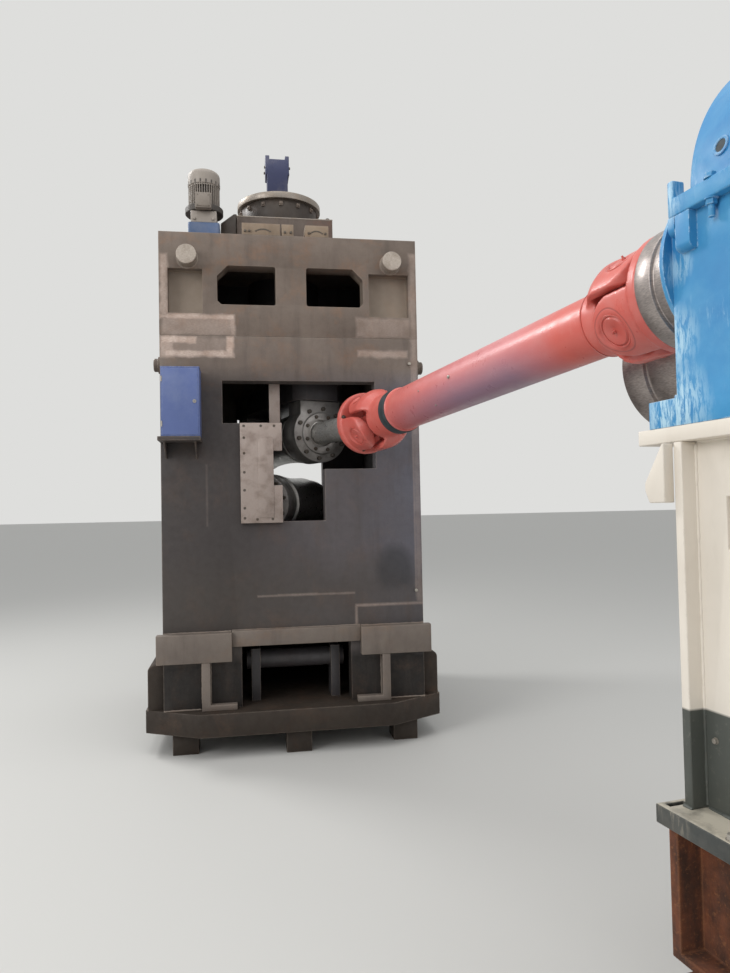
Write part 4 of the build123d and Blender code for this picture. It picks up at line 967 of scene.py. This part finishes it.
def fit_screwdown():
    """Lugs, machined joints, slots and bolts of the screw-down gear."""
    gear_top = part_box("gear_base")[1].z
    ring_low, ring_top = [corner.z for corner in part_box("wheel_flange")]
    case_left, case_right = [corner.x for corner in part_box("wheel_case")]
    case_round = (case_right - case_left) / 2
    near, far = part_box("screwdown_reducer")
    wheel_x, balance_x = -0.025, -0.038
    clamps = bmesh.new()
    for spoke in spokes(Matrix.Translation((wheel_x, 0, 0)), 14, math.tau / 28):
        add_box(clamps, (case_round - 0.004, -0.017, ring_low - 0.062),
                (case_round + 0.010, 0.017, ring_low - 0.022), 0.004, 2, spoke)
        add_hex_bolt(clamps, spoke @ Vector((case_round + 0.010, 0, ring_low - 0.042)),
                     spoke.to_3x3() @ Vector((1, 0, 0)), 0.018, washer=False)
    new_piece("wheel_case_clamps", clamps, gear_iron)
    bolts = bmesh.new()
    for x in (-0.370, 0.370):
        for y in (-0.460, 0.460):
            add_hex_bolt(bolts, (x, y, gear_top), (0, 0, 1))
    seat_face = FRONT + 0.002
    for x in (-0.345, -0.312, 0.145, 0.275, -0.040, 0.006):
        add_socket_screw(bolts, (x, seat_face, 3.957), (0, -1, 0), 0.009)
    # Arc slots of the seat blocks, each drawn by nine short dark bars that dip towards both ends, a painted
    # shade standing for the slot
    for middle_x, half in ((-0.208, 0.054), (0.205, 0.045)):
        for index in range(9):
            aside = index / 4 - 1
            x, z = middle_x + half * aside, 3.976 - 0.016 * aside * aside
            add_box(bolts, (x - half / 7, seat_face - 0.003, z - 0.005),
                    (x + half / 7, seat_face + 0.002, z + 0.005), 0.0015, 1)
    for side in (-1, 1):
        for y in (-0.060, 0.060):
            cheek = (balance_x + side * 0.107, y, ring_top + 0.350)
            add_hex_bolt(bolts, cheek, (side, 0, 0), 0.022, washer=False)
    for x in (near.x + 0.030, far.x - 0.030):
        add_hex_bolt(bolts, (x, near.y - 0.0005, near.z + 0.030), (0, -1, 0), 0.020)
    new_piece("screwdown_bolts", bolts, bolt_steel)
    joint = bmesh.new()
    add_box(joint, (-0.4095, -0.5015, gear_top - 0.012), (0.4095, 0.5015, gear_top - 0.002), 0.002)
    new_piece("gear_base_machined_joint", joint, ring_steel)
    feet = bmesh.new()
    for x in (near.x - 0.022, far.x - 0.020):
        add_box(feet, (x, near.y - 0.016, near.z), (x + 0.042, far.y + 0.016, near.z + 0.026), 0.005)
    new_piece("reducer_feet", feet, reducer_enamel)
    foot = bmesh.new()
    add_drum(foot, Matrix.Translation((balance_x, 0, ring_top)), 0.125, 0.018, sides=48, edge=0.003)
    new_piece("balance_cylinder_foot", foot, navy_enamel)


def fit_box():
    """The door of the electrical box, its hinges and its lock."""
    low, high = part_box("electrical_box")
    door = bmesh.new()
    add_box(door, (low.x + 0.010, low.y - 0.004, low.z + 0.010),
            (high.x - 0.010, low.y + 0.002, high.z - 0.012), 0.003, 3)
    add_box(door, (low.x - 0.002, low.y - 0.002, high.z - 0.006),
            (high.x + 0.002, FRONT, high.z), 0.002)
    new_piece("box_door", door, box_enamel)
    small = bmesh.new()
    for z in (low.z + 0.070, high.z - 0.110):
        add_drum(small, Matrix.Translation((low.x + 0.006, low.y - 0.003, z)), 0.005, 0.040, sides=12)
    lock = facing((high.x - 0.035, low.y - 0.004, (low.z + high.z) / 2), (0, -1, 0))
    add_ring(small, lock, 0.006, 0.013, 0.005, 0.001)
    add_box(small, (-0.0015, -0.006, 0.0), (0.0015, 0.006, 0.004), place=lock)
    new_piece("box_lock_and_hinges", small, zinc_steel)


# Camera, light and floor

def aim_camera():
    """The camera at the picture's place: turned to the right, tipped up, and rolled a little."""
    level = turned(Matrix.Translation(CAMERA_PLACE), -CAMERA_YAW)
    data = bpy.data.cameras.new("view")
    data.lens = CAMERA_LENS
    data.sensor_width = 36.0
    data.sensor_fit = "AUTO"
    data.clip_end = 500.0
    made = bpy.data.objects.new("view", data)
    made.matrix_world = turned(turned(level, math.pi / 2 + CAMERA_PITCH, "X"), -CAMERA_ROLL)
    scene.collection.objects.link(made)
    scene.camera = made


def lay_floor():
    """A plain pale floor."""
    work = bmesh.new()
    bmesh.ops.create_grid(work, x_segments=1, y_segments=1, size=150.0)
    mesh = bpy.data.meshes.new("floor")
    work.to_mesh(mesh)
    work.free()
    mesh.materials.append(coat(material("pale_floor")[0], "#c6c5c1", 0.0, 0.85))
    floor = bpy.data.objects.new("floor", mesh)
    scene.collection.objects.link(floor)


def hang_lamps():
    """Soft square studio lamps from high in front, from both sides and from behind."""
    for name, place, target, size, watts in (
            ("key", (-8.5, -7.5, 6.5), (0.3, -2.0, 2.2), 5.0, 500),
            ("fill", (6.0, -9.0, 5.0), (0.3, -1.5, 2.3), 5.0, 130),
            ("top", (0.0, -3.6, 9.0), (0.3, -2.2, 2.0), 6.0, 200),
            ("back", (-5.1, 2.7, 8.1), (0.9, -3.0, 2.5), 2.2, 330)):
        data = bpy.data.lights.new(name, "AREA")
        data.size = size
        data.energy = watts
        lamp = bpy.data.objects.new(name, data)
        lamp.matrix_world = facing(place, Vector(place) - Vector(target))
        scene.collection.objects.link(lamp)


def set_sky():
    """An even sky that lights the machine and shows as a pale plain background."""
    world = bpy.data.worlds.new("sky")
    world.use_nodes = True
    tree = world.node_tree
    tree.nodes.clear()
    rays = ("Is Camera Ray", "Is Glossy Ray", "Is Transmission Ray")
    seen = greatest(tree, *[add(tree, "ShaderNodeLightPath", out=ray) for ray in rays])
    plain = add(tree, "ShaderNodeBackground", {"Color": "#f0f2f4", "Strength": 0.70})
    shown = add(tree, "ShaderNodeBackground", {"Color": "#dededc", "Strength": 1.0})
    mixed = add(tree, "ShaderNodeMixShader", {0: seen, 1: plain, 2: shown})
    add(tree, "ShaderNodeOutputWorld", {"Surface": mixed})
    scene.world = world
    scene.view_settings.view_transform = "Standard"


dress_stand()
weld_stand()
face_bar_ends()
fit_guide_screws()
dress_shafts()
fit_joint_shaft()
dress_gearbox()
fit_gearbox()
fit_pedestal()
dress_screwdown()
build_motor()
fit_screwdown()
fit_box()
aim_camera()
lay_floor()
hang_lamps()
set_sky()
